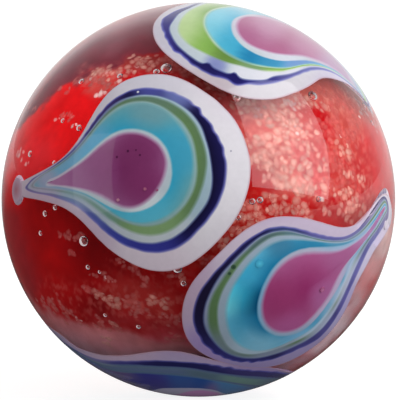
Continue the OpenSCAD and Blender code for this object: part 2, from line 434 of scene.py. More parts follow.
DOT_B = {
    "middle": (241, 29), "tip": (371, 108), "edges": [
        [(371, 108), rim(34, 1), rim(40, -6), rim(50, -13), rim(62, -16.5), rim(74, -15.5),
         rim(83, -11.5), rim(89.5, -4.5), (186, 3.8), (170, 8.9), (159, 16.5), (153.3, 26), (154.5, 38),
         (163, 51), (177, 62.5), (195, 74.5), (213, 85), (230, 93), (250, 98.5), (275, 98.5),
         (292, 93.5), (309, 86), (321, 78.5), (334, 78.8), (351, 86.5), (361, 96)],
        [(369, 105.5), rim(35, 1.7), rim(42, -4), rim(52, -10), rim(64, -12.3), rim(75, -11.5),
         rim(82.5, -7.8), rim(88, -1.5), (190, 5.9), (176, 10.8), (166, 16.5), (162, 21), (163.2, 30),
         (167.5, 40), (175, 50.5), (188, 60), (199, 68.5), (207, 73.2), (216, 76), (227, 79), (234, 84),
         (241, 84.8), (248, 83.5), (258, 84.2), (275, 82), (292, 76.5), (308, 70.5), (322, 69.5),
         (337, 75), (350, 84.5), (360, 94.5)],
        [(367.5, 103.5), rim(36, 2.2), rim(43, -3), rim(53, -8.8), rim(64, -10.7), rim(75, -10),
         rim(82, -6.5), rim(87, -.5), (193, 6.6), (181, 12.3), (173.5, 20), (169.5, 28), (172, 37),
         (180, 48), (194, 59), (204, 63.6), (208.5, 62.8), (212, 66.5), (221, 71.2), (230, 73.6),
         (235, 72.6), (239, 77), (247, 79.8), (258, 80.4), (267, 79.4), (272, 77.2), (290, 74),
         (306, 68.5), (322, 68), (337, 73.8), (350, 83.2), (359.5, 93)],
        [(366, 101.5), rim(37, 2.5), rim(44, -2.2), rim(54, -7.5), rim(65, -9), rim(74, -8),
         rim(81, -4.6), rim(85.5, .6), (201, 5.3), (190, 10.5), (182.5, 17.5), (178.5, 26.5),
         (180.5, 35.5), (191, 45.5), (206, 53.5), (223, 60.7), (240, 65.5), (260, 70), (281, 71),
         (297, 67.5), (311, 65.5), (325, 67.5), (338, 73.5), (350, 82.5), (359, 92)],
        [(364.5, 99.5), rim(38, 3), rim(45, -1.2), rim(55, -5.3), rim(66, -6), rim(72, -4.2),
         rim(77, -.2), (226, 6.4), (213, 9), (206, 13.5), (203.2, 20), (204, 28), (208, 35.5),
         (213, 42.5), (220, 49.5), (229, 56), (242, 62), (256, 66), (272, 68.3), (288, 68.3),
         (302, 65.5), (315, 65), (328, 68.3), (341, 75.5), (354, 87.5)],
        [(363, 97.8), rim(38.5, 3.4), rim(46, -.6), rim(56, -4.5), rim(66, -5), rim(71, -3.2),
         rim(75.7, .5), (228, 7.8), (216, 10), (209, 14), (206, 20), (207, 28), (211, 35.5), (216, 42),
         (223, 49), (232, 55), (244, 60.5), (258, 64.5), (274, 67), (289, 67), (302, 64.5), (314, 64),
         (327, 67.5), (340, 74.5), (352.5, 86)],
        [(357, 90.5), rim(37.5, 9), rim(42, 5.5), rim(49, 3), rim(57, 2.5), rim(64, 4), rim(69.5, 7.5),
         (252, 14.3), (243, 15.3), (236, 17.7), (232, 22), (231.3, 28), (233.5, 35), (238.5, 42),
         (246, 48.5), (257, 54.5), (270, 59), (284, 61), (298, 60.5), (310, 61), (322, 64.3), (334, 70),
         (346, 79)],
        [(351, 83.5), rim(39.5, 10.5), rim(44, 7), rim(50, 4.8), rim(57, 4.5), rim(63, 6.5),
         rim(68, 10), (250, 16.3), (241, 18.5), (237, 24), (238.3, 32), (243.5, 39.5), (252, 45.5),
         (263, 50), (276, 53.3), (290, 54.8), (303, 55.8), (314, 58.7), (325, 63), (336, 69.3),
         (344, 76)]]}
DOT_D = {
    "middle": (203, 393), "tip": rim(-141, -2), "edges": [
        [rim(-141, -2), (62, 336), (72, 344.5), (84, 350.5), (98, 354.5), (115, 356), (135, 354.6),
         (153, 352), (171, 351.3), (188, 353.5), (205, 358), (225, 362.5), (250, 366.3), (275, 368.5),
         rim(-61, 3), rim(-60.5, -5), rim(-66, -12.5), rim(-78, -17), rim(-93, -17.5), rim(-108, -14),
         rim(-121, -9.5), rim(-132, -5.5)],
        [rim(-139.5, -1.5), (70, 346.5), (84, 354.5), (100, 360), (115, 361.3), (130, 361.5),
         (150, 361), (170, 361.5), (200, 363.5), (224, 367), (246.5, 370.3), (265.6, 371.5),
         (281, 372.8), rim(-62.5, 3), rim(-63.5, -3), rim(-69, -9), rim(-80, -12.5), rim(-95, -12.7),
         rim(-108, -10.5), rim(-121, -7), rim(-131, -4)],
        [rim(-137.5, -1), (74, 350), (88, 358), (103, 363), (118, 364.5), (133, 364.7), (150, 365.7),
         (170, 366.6), (190, 368), (205, 370.5), (224, 373.5), (246, 376), (262, 377), (275, 377.8),
         rim(-65, 3.5), rim(-66, -2.5), rim(-72, -7.5), rim(-83, -10.3), rim(-96, -10.5), rim(-108, -9),
         rim(-120, -6.3), rim(-130, -3.5)],
        [rim(-136.5, -.8), (78, 353), (92, 360.5), (106, 365), (120, 366.5), (135, 367), (150, 367.7),
         (170, 368.7), (190, 370.3), (205, 372.7), (224, 375.3), (246, 378.2), (262, 379.5),
         rim(-66.3, 6), rim(-67.3, 0), rim(-71, -5), rim(-79, -8.3), rim(-90, -9.3), rim(-102, -8.6),
         rim(-114, -6.7), rim(-125, -4)],
        [rim(-135, -.6), (83, 356.5), (97, 364), (110, 368.5), (123, 370.5), (140, 371.5), (155, 372.3),
         (170, 373.3), (190, 375.2), (205, 377.7), (224, 380.8), (240, 383.3), (252, 384.7),
         rim(-71, 5), rim(-72, 0), rim(-76, -4), rim(-84, -6.6), rim(-95, -7), rim(-107, -6),
         rim(-119, -4), rim(-128, -2)],
        [rim(-134, -.4), (86, 358.5), (100, 366), (113, 370.5), (126, 372.3), (142, 373), (155, 373.8),
         (170, 374.8), (190, 376.8), (205, 379.2), (222, 382), (238, 385), (248, 386.8), rim(-73, 4.5),
         rim(-74, 0), rim(-78, -3.5), rim(-86, -5.5), rim(-96, -5.7), rim(-108, -4.8), rim(-119, -3),
         rim(-127, -1.5)],
        [rim(-121, -2), rim(-116, -1.4), rim(-111, -.8), rim(-106.5, -.2), (158, 389), (170, 388.1),
         (185, 388), (200, 388.3), (209, 389.2), (218, 391.2), rim(-81, 2), rim(-80.7, -1),
         rim(-85, -3.3), rim(-93, -4.2), rim(-103, -3.7), rim(-113, -2.8)],
        [rim(-113, -2), rim(-108.5, -1.5), rim(-104, -.9), rim(-100, -.2), (182, 393.2), (190, 391.3),
         (200, 390.3), (210, 391.2), (219, 393.2), rim(-83.5, 1), rim(-83.7, -.7), rim(-88, -2.2),
         rim(-95, -2.7), rim(-104, -2.5)]]}

# The dots on the far side in the part's own terms: azimuth, elevation and roll, and size
CAD_DOTS = {"E": (112, 24, 82, 1.0), "F": (56, -24, -66, 0.95)}
HEAD_R = BALL_R * math.sin(math.radians(28.4))
REACH = BALL_R * math.sin(math.radians(51.4))
TAIL_R = 0.0005
LEAST_TAIL_R = 0.00004
TAIL_STEP = 0.0004
DRIFT = 0.33
BAND_WIDTHS = [0.00135, 0.0006, 0.00025, 0.00065, 0.00025, 0.0013, 0.00025]
LEVELS = 8
# A plain outline's flank is drawn this far from its tip to its head, and the head from
# this many degrees off the tail round to as many on the other side
FLANK_SHARE = 0.58
FLANK_STEPS = 8
HEAD_OPENING = 62
HEAD_STEPS = 12

# Points round each ring, how closely they crowd at the tail's tip, and steps of a curve
# from one drawn point to the next
AROUND = 360
TIP_CROWD = 1.8
CURVE_STEPS = 14
# The least width of a band
NEST_GAP = 0.00003


class Spot:
    """A dot's own frame: where it lies on the ball and which way its tail runs."""

    def __init__(self, middle, tip):
        self.axis = unit(middle)
        self.tail = unit(tip - np.dot(tip, self.axis) * self.axis)
        self.side = np.cross(self.axis, self.tail)

    def flat(self, direction):
        return np.array([np.dot(direction, self.tail), np.dot(direction, self.side)]) * BALL_R

    def lift(self, points, radius):
        """Places on the ball of this radius over points on the dot's flat plane."""
        rest = np.sqrt(np.maximum(radius ** 2 - (points ** 2).sum(axis=1), TINY ** 2))
        return points[:, :1] * self.tail + points[:, 1:] * self.side + rest[:, None] * self.axis


def aim(azimuth, elevation, roll=0):
    a, e, r = (math.radians(v) for v in (azimuth, elevation, roll))
    axis = np.array([math.cos(a) * math.cos(e), math.sin(a) * math.cos(e), math.sin(e)])
    down = np.array([math.cos(a) * math.sin(e), math.sin(a) * math.sin(e), -math.cos(e)])
    left = np.array([-math.sin(a), math.cos(a), 0.0])
    return Spot(axis, axis + math.cos(r) * down + math.sin(r) * left)


def plain_edge(level, size):
    """Round head and tapered tail, as the part's source draws them."""
    inset = sum(BAND_WIDTHS[:level])
    r = (HEAD_R - inset) * size
    c = DRIFT * inset * size
    end = REACH - TAIL_STEP * level
    t = max(LEAST_TAIL_R, TAIL_R * (1 - level / LEVELS))
    flank = []
    for i in range(FLANK_STEPS + 1):
        u = end - FLANK_SHARE * (end - c) * i / FLANK_STEPS
        flank.append((u, t + (r - t) * math.cos(math.pi / 2 * (u - c) / (end - c)) ** 2))
    head = []
    for i in range(1, HEAD_STEPS):
        turn = math.radians(HEAD_OPENING + i * (360 - 2 * HEAD_OPENING) / HEAD_STEPS)
        head.append((c + r * math.cos(turn), r * math.sin(turn)))
    back = [(u, -half) for u, half in reversed(flank)]
    return np.array([(end + t, 0)] + flank + head + back)


def closed_curve(points):
    """A smooth closed curve through the points: a periodic cubic spline."""
    p = np.asarray(points, dtype=float)
    count = len(p)
    ahead = np.roll(p, -1, axis=0)
    span = np.sqrt(np.linalg.norm(ahead - p, axis=1))
    system = np.zeros((count, count))
    right = np.zeros((count, 2))
    for i in range(count):
        before, after = span[i - 1], span[i]
        system[i, i - 1] += before
        system[i, i] += 2 * (before + after)
        system[i, (i + 1) % count] += after
        right[i] = 6 * ((ahead[i] - p[i]) / after - (p[i] - p[i - 1]) / before)
    bend = np.linalg.solve(system, right)
    curve = []
    for i in range(count):
        h, j = span[i], (i + 1) % count
        t = np.linspace(0, h, CURVE_STEPS, endpoint=False)[:, None]
        curve.append(bend[i] * (h - t) ** 3 / (6 * h) + bend[j] * t ** 3 / (6 * h)
                     + (p[i] / h - bend[i] * h / 6) * (h - t) + (p[j] / h - bend[j] * h / 6) * t)
    return np.concatenate(curve)


def centroid(points):
    x, y = points[:, 0], points[:, 1]
    cross = x * np.roll(y, -1) - np.roll(x, -1) * y
    area = cross.sum() / 2
    return np.array([((v + np.roll(v, -1)) * cross).sum() / (6 * area) for v in (x, y)])


def reach_at(curve, middle, turns):
    """How far the curve lies from the middle at each turn, in radians."""
    rel = curve - middle
    angle = np.unwrap(np.arctan2(rel[:, 1], rel[:, 0]))
    far = np.hypot(rel[:, 0], rel[:, 1])
    if angle[-1] < angle[0]:
        angle, far = angle[::-1], far[::-1]
    angle = np.maximum.accumulate(angle)
    angle = np.r_[angle, angle[0] + TURN]
    far = np.r_[far, far[0]]
    return np.interp((turns - angle[0]) % TURN + angle[0], angle, far)


def nested_rings(curves, wobble):
    """Each curve as a ring of points, kept inside the one before it."""
    rings = []
    # from -1 to 1 round a ring, close together at the tail's tip, which is 0
    s = -1 + 2 * np.arange(AROUND) / AROUND
    for level, curve in enumerate(curves):
        middle = centroid(curve)
        rel = curve - middle
        tip = math.atan2(*rel[np.argmax((rel ** 2).sum(axis=1))][::-1])
        turns = tip + math.pi * np.sign(s) * np.abs(s) ** TIP_CROWD
        far = reach_at(curve, middle, turns) + wobble(level, s)
        if rings:
            far = np.minimum(far, reach_at(rings[-1], middle, turns) - NEST_GAP)
        rings.append(middle + np.stack([far * np.cos(turns), far * np.sin(turns)], axis=1))
    return rings


def waves(seed, count, low, high):
    """A smooth random wave round a ring."""
    draw = random.Random(seed)
    parts = []
    for _ in range(count):
        parts.append((draw.randint(low, high), draw.uniform(0, TURN), draw.uniform(0.4, 1)))
    return lambda s: sum(a * np.sin(math.pi * f * s + p) for f, p, a in parts) / count


# How far each edge strays from its smooth curve, and the waves in it: how many are added
# up, and the fewest and the most of them round a ring
RAGGED = [0.00002, 0.00006, 0.00003, 0.00003, 0.00002, 0.00002, 0.00002, 0.00002]
EDGE_WAVES = (7, 18, 46)
# The navy's outer edge strays most, on one stretch of the head: its place and half length
RAGGED_HEAD = 0.00034
RAGGED_PLACE = -0.88
RAGGED_LENGTH = 0.1
HEAD_WAVES = (9, 30, 84)
# The stretch on each side of the tail's tip that stays smooth, as a share of half the ring
SMOOTH_TAIL = 0.25
SEEDS_A_DOT = 100
HEAD_SEED = 50


def ragged(number):
    seed = SEEDS_A_DOT * number
    shapes = [waves(seed + level, *EDGE_WAVES) for level in range(LEVELS)]
    bumps = waves(seed + HEAD_SEED, *HEAD_WAVES)

    def wobble(level, s):
        stray = shapes[level](s) * RAGGED[level]
        if GLASS_OF_LEVEL[level] == "navy":
            there = np.exp(-((s - RAGGED_PLACE) / RAGGED_LENGTH) ** 2)
            stray = stray + bumps(s) * RAGGED_HEAD * there
        return stray * np.clip(np.abs(s) / SMOOTH_TAIL - 1, 0, 1)
    return wobble


def traced_rings(dot, number):
    spot = Spot(on_ball(*dot["middle"]), on_ball(*dot["tip"]))
    curves = [closed_curve([spot.flat(on_ball(*p)) for p in edge]) for edge in dot["edges"]]
    return spot, nested_rings(curves, ragged(number))


def plain_rings(place, number):
    *turned, size = place
    curves = [closed_curve(plain_edge(level, size)) for level in range(LEVELS)]
    return aim(*turned), nested_rings(curves, ragged(number))


# ---------------------------------------------------------------- colours of the glass
# Each dot's colours by level, in 0 to 255: at the band's outer edge and its inner
# edge, then tints: (x, y, spread in pixels, colour) where the glass runs paler or darker. The
# whites' tints are partly painted shade, darker low on the ball.
# Written one by one, with colours read from the photograph at single places as a guide.
PLAIN_TONES = [
    ((226, 220, 230), (232, 230, 236), []),
    ((52, 45, 118), (22, 18, 55), []),
    ((165, 190, 205), (170, 195, 205), []),
    ((98, 130, 92), (102, 136, 85), []),
    ((150, 180, 180), (140, 180, 185), []),
    ((105, 172, 182), (50, 167, 204), []),
    ((190, 208, 215), (200, 205, 220), []),
    ((160, 92, 142), (141, 60, 115), [])]
TONES_A = [
    ((226, 219, 229), (230, 226, 233),
     [(238, 165, 30, (237, 233, 240)), (150, 262, 28, (228, 212, 226)), (88, 236, 24, (203, 180, 203)),
      (42, 200, 18, (199, 172, 192)), (150, 80, 26, (212, 208, 220)), (92, 108, 22, (205, 198, 210)),
      (60, 158, 18, (196, 176, 196))]),
    ((32, 28, 84), (20, 17, 50),
     [(150, 248, 20, (61, 65, 166)), (118, 238, 14, (70, 78, 176)), (95, 222, 14, (96, 108, 188)),
      (72, 204, 14, (142, 162, 209)), (98, 112, 18, (73, 58, 118)), (72, 150, 14, (110, 100, 160)),
      (42, 195, 14, (160, 140, 180)), (150, 88, 10, (84, 88, 168)), (178, 92, 12, (120, 132, 196)),
      (45, 171, 10, (165, 145, 185))]),
    ((165, 188, 203), (160, 186, 200),
     [(110, 108, 16, (120, 130, 165)), (80, 145, 14, (130, 140, 175)), (95, 216, 16, (175, 185, 205)),
      (150, 242, 18, (206, 212, 218)), (118, 230, 14, (198, 205, 215)), (180, 238, 14, (198, 206, 214)),
      (42, 190, 12, (184, 172, 196))]),
    ((95, 125, 90), (100, 132, 85),
     [(150, 230, 22, (138, 172, 120)), (100, 212, 16, (120, 158, 150)), (75, 199, 12, (150, 175, 190)),
      (150, 98, 18, (100, 128, 110)), (100, 122, 16, (106, 131, 125)), (75, 152, 14, (120, 140, 165)),
      (45, 185, 12, (170, 160, 190))]),
    ((150, 180, 180), (140, 182, 186), [(75, 155, 14, (130, 165, 200)), (90, 200, 14, (150, 185, 200)),
     (45, 188, 12, (180, 168, 194))]),
    ((108, 170, 180), (50, 167, 204),
     [(150, 108, 14, (117, 163, 172)), (182, 150, 16, (66, 166, 200)), (140, 216, 20, (92, 194, 222)),
      (88, 145, 16, (105, 180, 220)), (70, 163, 12, (130, 180, 215)), (62, 188, 12, (160, 175, 205)),
      (48, 181, 8, (180, 172, 200))]),
    ((186, 206, 214), (200, 205, 218), [(145, 207, 12, (222, 232, 238)), (60, 178, 12, (205, 190, 210))]),
    ((160, 94, 144), (116, 36, 88),
     [(58, 183, 12, (182, 130, 172)), (78, 180, 14, (168, 104, 156)), (98, 172, 14, (152, 76, 134)),
      (140, 150, 14, (130, 52, 104)), (145, 185, 14, (134, 52, 106))])]
TONES_B = [
    ((205, 198, 210), (212, 210, 217),
     [(162, 45, 24, (204, 199, 213)), (215, 84, 20, (196, 182, 190)), (270, 96, 24, (212, 207, 214)),
      (345, 82, 18, (200, 192, 215))]),
    ((56, 50, 138), (30, 27, 84),
     [(205, 68, 10, (30, 26, 84)), (235, 78, 8, (30, 26, 92)), (262, 84, 12, (58, 58, 140)),
      (292, 78, 12, (100, 98, 158)), (315, 70, 14, (118, 122, 184)), (340, 78, 14, (160, 160, 205)),
      (165, 25, 14, (50, 44, 132))]),
    ((190, 202, 212), (196, 208, 214),
     [(216, 65, 7, (126, 134, 190)), (242, 75, 8, (224, 224, 234)), (264, 77, 12, (230, 228, 238)),
      (290, 72, 10, (222, 220, 234)), (320, 66, 12, (196, 192, 222))]),
    ((186, 214, 142), (112, 160, 64),
     [(185, 30, 14, (192, 216, 156)), (203, 44, 12, (132, 178, 80)), (224, 60, 12, (98, 134, 62)),
      (250, 67, 10, (120, 152, 110))]),
    ((200, 220, 184), (150, 200, 190), [(235, 60, 12, (120, 170, 160))]),
    ((112, 196, 219), (58, 162, 203),
     [(212, 18, 14, (128, 206, 226)), (232, 40, 12, (64, 172, 206)), (250, 56, 10, (22, 122, 170)),
      (270, 63, 9, (56, 142, 186)), (255, 8, 12, (150, 205, 222)), (300, 64, 12, (120, 150, 205)),
      (285, 12, 12, (190, 205, 220)), (310, 24, 12, (192, 186, 212)), (335, 44, 12, (190, 178, 208)),
      (358, 72, 12, (186, 176, 204)), (372, 100, 12, (186, 180, 204))]),
    ((192, 205, 212), (206, 205, 216),
     [(285, 60, 12, (212, 214, 226)), (240, 22, 10, (200, 196, 212)), (275, 12, 12, (192, 150, 182)),
      (300, 24, 12, (190, 140, 172)), (325, 42, 12, (188, 142, 178)), (345, 62, 12, (182, 150, 186)),
      (365, 92, 12, (178, 158, 190))]),
    ((176, 100, 140), (164, 88, 126),
     [(246, 32, 10, (172, 98, 140)), (270, 20, 14, (188, 136, 168)), (310, 44, 14, (182, 124, 158)),
      (335, 62, 14, (180, 150, 182)), (355, 85, 14, (176, 158, 190))])]
TONES_C = [
    ((205, 184, 212), (212, 198, 220),
     [(232, 240, 20, (215, 200, 218)), (188, 292, 22, (202, 176, 202)), (205, 350, 18, (176, 150, 212)),
      (255, 366, 26, (170, 154, 212)), (310, 350, 20, (176, 162, 216)), (345, 310, 18, (191, 182, 231)),
      (370, 262, 16, (222, 214, 243)), (330, 226, 20, (208, 192, 216)), (385, 207, 12, (230, 220, 232))]),
    ((40, 35, 90), (30, 25, 62),
     [(245, 242, 14, (36, 34, 84)), (202, 290, 20, (30, 24, 54)), (240, 357, 22, (60, 58, 140)),
      (300, 345, 14, (86, 82, 160)), (325, 326, 12, (100, 95, 172)), (345, 298, 12, (116, 110, 186)),
      (358, 268, 14, (126, 122, 196)), (374, 238, 10, (130, 130, 200)), (376, 212, 10, (180, 166, 202)),
      (285, 229, 12, (60, 72, 122)), (325, 237, 16, (108, 106, 174)), (352, 234, 12, (130, 126, 186))]),
    ((150, 160, 190), (150, 162, 190),
     [(352, 285, 18, (206, 210, 240)), (330, 318, 14, (196, 204, 236)), (225, 345, 16, (120, 140, 170))]),
    ((98, 128, 102), (104, 140, 88),
     [(215, 300, 16, (98, 132, 88)), (262, 236, 14, (85, 110, 115)), (300, 234, 14, (96, 128, 150)),
      (228, 350, 14, (128, 146, 160)), (270, 353, 14, (150, 160, 196)), (320, 322, 14, (190, 200, 234)),
      (350, 280, 18, (208, 214, 240)), (345, 241, 14, (120, 140, 180))]),
    ((170, 186, 204), (160, 186, 206),
     [(318, 325, 14, (195, 220, 245)), (345, 285, 14, (205, 220, 245)), (250, 353, 12, (190, 215, 235))]),
    ((100, 194, 230), (28, 130, 178),
     [(227, 300, 10, (130, 240, 255)), (237, 296, 9, (70, 214, 252)), (242, 272, 10, (70, 190, 232)),
      (262, 345, 14, (150, 214, 244)),
      (300, 336, 12, (140, 200, 240)), (280, 242, 10, (70, 136, 172)), (310, 243, 12, (52, 140, 182)),
      (254, 302, 9, (0, 78, 122)), (264, 326, 9, (16, 116, 166)), (318, 322, 8, (96, 176, 220)),
      (340, 246, 10, (96, 156, 190)), (340, 295, 10, (184, 206, 236)), (352, 265, 10, (200, 206, 236)),
      (328, 312, 8, (150, 196, 230)), (365, 238, 10, (172, 184, 220))]),
    ((150, 190, 220), (190, 190, 220),
     [(260, 300, 18, (140, 186, 222)), (335, 300, 20, (214, 188, 222)), (300, 255, 14, (190, 190, 212))]),
    ((186, 98, 152), (158, 46, 108),
     [(290, 330, 12, (188, 96, 158)), (330, 298, 12, (186, 108, 166)), (345, 258, 14, (180, 104, 156)),
      (366, 240, 10, (190, 142, 190)), (376, 226, 8, (172, 118, 180)), (275, 300, 14, (168, 60, 118))])]
# D's last, purple colours are painted light: made paler for the light from below that the lamps don't
# give.
TONES_D = [
    ((202, 176, 218), (208, 190, 230),
     [(262, 374, 22, (178, 154, 212)), (118, 354, 24, (228, 198, 226))]),
    ((74, 68, 150), (38, 36, 102),
     [(95, 360, 14, (150, 148, 200)), (118, 365, 12, (78, 78, 158)), (180, 365, 22, (34, 34, 98)),
      (252, 372, 16, (68, 60, 130))]),
    ((104, 128, 168), (104, 128, 168), [(95, 364, 12, (150, 160, 190))]),
    ((112, 132, 170), (106, 128, 172),
     [(240, 379, 16, (128, 168, 158)), (205, 374, 12, (100, 128, 146))]),
    ((100, 125, 168), (100, 125, 168), []),
    ((80, 112, 186), (66, 66, 158),
     [(120, 374, 12, (120, 96, 150)), (180, 379, 14, (58, 100, 180)), (228, 385, 14, (86, 150, 208)),
      (142, 384, 12, (56, 52, 158)), (160, 386, 10, (70, 56, 152)), (203, 380, 8, (34, 88, 176)),
      (212, 390, 6, (148, 107, 171))]),
    ((206, 200, 236), (206, 200, 236), []),
    ((228, 160, 228), (218, 150, 220), [])]
# How far a colour's edge leans to a tone of its own, where two bands melt together
SEAMS = [(0.75, (202, 162, 178)), (0.55, (74, 80, 190)), (0.5, (96, 112, 172)), (0.2, (130, 165, 140)),
         (0.3, (120, 155, 140)), (0.3, (120, 175, 180)), (0.2, (140, 190, 210)), (0.5, (196, 160, 196))]
# Width of the soft edge on each side of a seam
SOFT = [0.00014, 0.00015, 0.00012, 0.00016, 0.00012, 0.00018, 0.0001, 0.0002]
# What a band's own colour weighs against its tints, and how far behind the outline they fade
BASE_WEIGHT = 0.12
TINT_FADE = 0.25
# A seam leans less to its own colour as the mean tone beside it, in 0 to 255, nears PALE_TONE
PALE_TONE = 230
PALE_SPAN = 90
LEAST_LEAN = 0.15


def tinted_and_shaded(base, tints_and_shade, px, py, facing):
    """A colour for each place, drawn to the tints near it on the side we see; some tints are painted
    shade.
    """
    near = np.clip(facing / TINT_FADE + 1, 0, 1)
    total = np.full(len(px), BASE_WEIGHT)
    colour = np.outer(total, base)
    for x, y, spread, tint in tints_and_shade:
        weight = near * np.exp(-((px - x) ** 2 + (py - y) ** 2) / spread ** 2)
        total = total + weight
        colour = colour + np.outer(weight, tint)
    return colour / total[:, None]


def seam_colour(level, outside, inside):
    share, own = SEAMS[level]
    if level == 0:
        return (1 - share) * inside + share * np.array(own)
    middle = (outside + inside) / 2
    # a pale stretch keeps a pale seam
    lean = share * np.clip((PALE_TONE - middle.mean(axis=1)) / PALE_SPAN, LEAST_LEAN, 1)[:, None]
    return (1 - lean) * middle + lean * np.array(own)


# ---------------------------------------------------------------- meshes
def mesh_object(name, verts, faces):
    mesh = bpy.data.meshes.new(name)
    mesh.from_pydata([tuple(v) for v in verts], [], [tuple(f) for f in faces])
    mesh.update()
    return new_object(name, mesh)


def toned_object(name, verts, faces, tones):
    """A smooth mesh that carries a colour, named in 0 to 255, on every corner point."""
    made = mesh_object(name, verts, faces)
    layer = made.data.attributes.new("tone", "FLOAT_COLOR", "POINT")
    values = np.ones((len(tones), 4))
    values[:, :3] = linear(np.clip(tones, 0, 255))
    layer.data.foreach_set("color", values.astype(np.float32).ravel())
    made.data.shade_smooth()
    return made


def outward(spots):
    return spots / np.linalg.norm(spots, axis=1)[:, None]


GLASS_OF_LEVEL = ["white", "navy", "white", "green", "white", "turquoise", "white", "purple"]
# How deep a dot's glass goes under the surface: at its outer edge, and elsewhere
EDGE_DEPTH = 0.00004
FULL_DEPTH = 0.0007
# The most of a band, and of the last dot, that one soft edge takes
SOFT_BAND = 0.45
SOFT_CENTRE = 0.3
CENTRE_ROWS = 9
BASE_TONE = (120, 60, 100)
# How far down a bead's skirt goes, and a direction that turns every bead alike
BEAD_AROUND = 24
BEAD_ROWS = 5
BEAD_DROP = FULL_DEPTH / 3
BEAD_TURN = np.array([0.3, 0.2, 1.0])
# Rows across a band's top: its seams, its soft edges' middles and ends, and its middle
SEAM_OUT, HALF_OUT, SOFT_OUT, MIDDLE, SOFT_IN, HALF_IN, SEAM_IN = range(7)


class GlassMesh:
    """Collects every band and bead of one colour of glass."""

    def __init__(self):
        self.verts, self.faces, self.tones, self.top = [], [], [], []
        self.count = 0

    def ring(self, points, tones):
        start = self.count
        self.verts.append(points)
        self.tones.append(np.broadcast_to(tones, points.shape))
        self.count += len(points)
        return start

    def strip(self, a, b, top, around=AROUND):
        for i in range(around):
            j = (i + 1) % around
            self.faces.append((a + i, a + j, b + j, b + i))
            self.top.append(top)

    def strips(self, rings, top):
        for a, b in zip(rings, rings[1:]):
            self.strip(a, b, top)

    def fan(self, a, tip, top, around=AROUND):
        for i in range(around):
            j = (i + 1) % around
            self.faces.append((a + i, a + j, tip) if top else (a + j, a + i, tip))
            self.top.append(top)

    def band(self, spot, outer, inner, level, tones, depth_out, lower):
        """One band: its top with soft edges, its two walls and its underside."""
        width = np.maximum(np.hypot(*(outer - inner).T), TINY)
        soft = np.minimum(SOFT_BAND, SOFT[level] / width)
        soft_in = np.minimum(SOFT_BAND, SOFT[level + 1] / width)
        one = np.ones(AROUND)
        shares = [0 * one, soft / 2, soft, one / 2, 1 - soft_in, 1 - soft_in / 2, one]
        tops = []
        for row, share in enumerate(shares):
            f = share[:, None]
            lifted = spot.lift(outer * (1 - f) + inner * f, BALL_R - lower)
            tops.append(self.ring(lifted, tones.row(level, row, share, lifted)))
        low_out = self.ring(spot.lift(outer, BALL_R - depth_out), tones.row(level, SOFT_OUT, soft, lifted))
        low_in = self.ring(spot.lift(inner, BALL_R - FULL_DEPTH), tones.row(level, SOFT_IN, soft, lifted))
        self.strip(low_out, tops[0], False)
        self.strips(tops, True)
        self.strip(tops[-1], low_in, False)
        self.strip(low_in, low_out, False)

    def centre(self, spot, outer, tones):
        """The last dot of a stack: rings that close on a point."""
        middle = centroid(outer)
        level = LEVELS - 1
        soft = np.minimum(SOFT_CENTRE, SOFT[level] / np.hypot(*(outer - middle).T))
        tops = []
        for row in range(CENTRE_ROWS):
            even = max(0, row - SOFT_OUT) / (CENTRE_ROWS - SOFT_OUT)
            share = (soft * min(row, SOFT_OUT) / SOFT_OUT) * (1 - even) + even
            f = share[:, None]
            lifted = spot.lift(outer * (1 - f) + middle * f, BALL_R)
            tops.append(self.ring(lifted, tones.row(level, min(row, MIDDLE), share, lifted)))
        low = self.ring(spot.lift(outer, BALL_R - FULL_DEPTH), tones.row(level, SOFT_OUT, soft, lifted))
        cap = spot.lift(middle[None, :], BALL_R)
        cap = self.ring(cap, tones.row(level, MIDDLE, np.ones(1), cap))
        base = self.ring(spot.lift(middle[None, :], BALL_R - FULL_DEPTH), BASE_TONE)
        self.strip(low, tops[0], False)
        self.strips(tops, True)
        self.fan(tops[-1], cap, True)
        self.fan(low, base, False)

    def bead(self, px, py, half, height, middle_tone, rim_tone):
        """A small round bead melted into the surface: half width and height in pixels."""
        axis = on_ball(px, py)
        spot = Spot(axis, axis + BEAD_TURN)
        turn = TURN * np.arange(BEAD_AROUND) / BEAD_AROUND
        circle = np.stack([np.cos(turn), np.sin(turn)], axis=1) * half * PIXEL
        rows = []
        for row in range(BEAD_ROWS):
            share = row / BEAD_ROWS
            rise = height * PIXEL * math.sqrt(1 - (1 - share) ** 2)
            tone = np.array(rim_tone) * (1 - share) + np.array(middle_tone) * share
            drop = BEAD_DROP if row == 0 else 0
            rows.append(self.ring(spot.lift(circle * (1 - share), BALL_R + rise - drop), tone))
            if row > 0:
                self.strip(*rows[-2:], row > 1, BEAD_AROUND)
        cap = self.ring(spot.lift(np.zeros((1, 2)), BALL_R + height * PIXEL), middle_tone)
        self.fan(rows[-1], cap, True, BEAD_AROUND)

    def build(self, name):
        """The mesh, its top faces shaded as one round ball with its neighbours'."""
        spots = np.concatenate(self.verts)
        made = toned_object(name, spots, self.faces, np.concatenate(self.tones))
        mesh = made.data
        loops = np.empty(len(mesh.loops), dtype=np.int32)
        mesh.loops.foreach_get("vertex_index", loops)
        sides = np.empty(len(mesh.polygons) * 3)
        mesh.polygons.foreach_get("normal", sides)
        totals = np.empty(len(mesh.polygons), dtype=np.int32)
        mesh.polygons.foreach_get("loop_total", totals)
        flat = np.repeat(sides.reshape(-1, 3), totals, axis=0)
        top = np.repeat(np.array(self.top), totals)[:, None]
        mesh.normals_split_custom_set(np.where(top, outward(spots)[loops], flat).tolist())
        return made


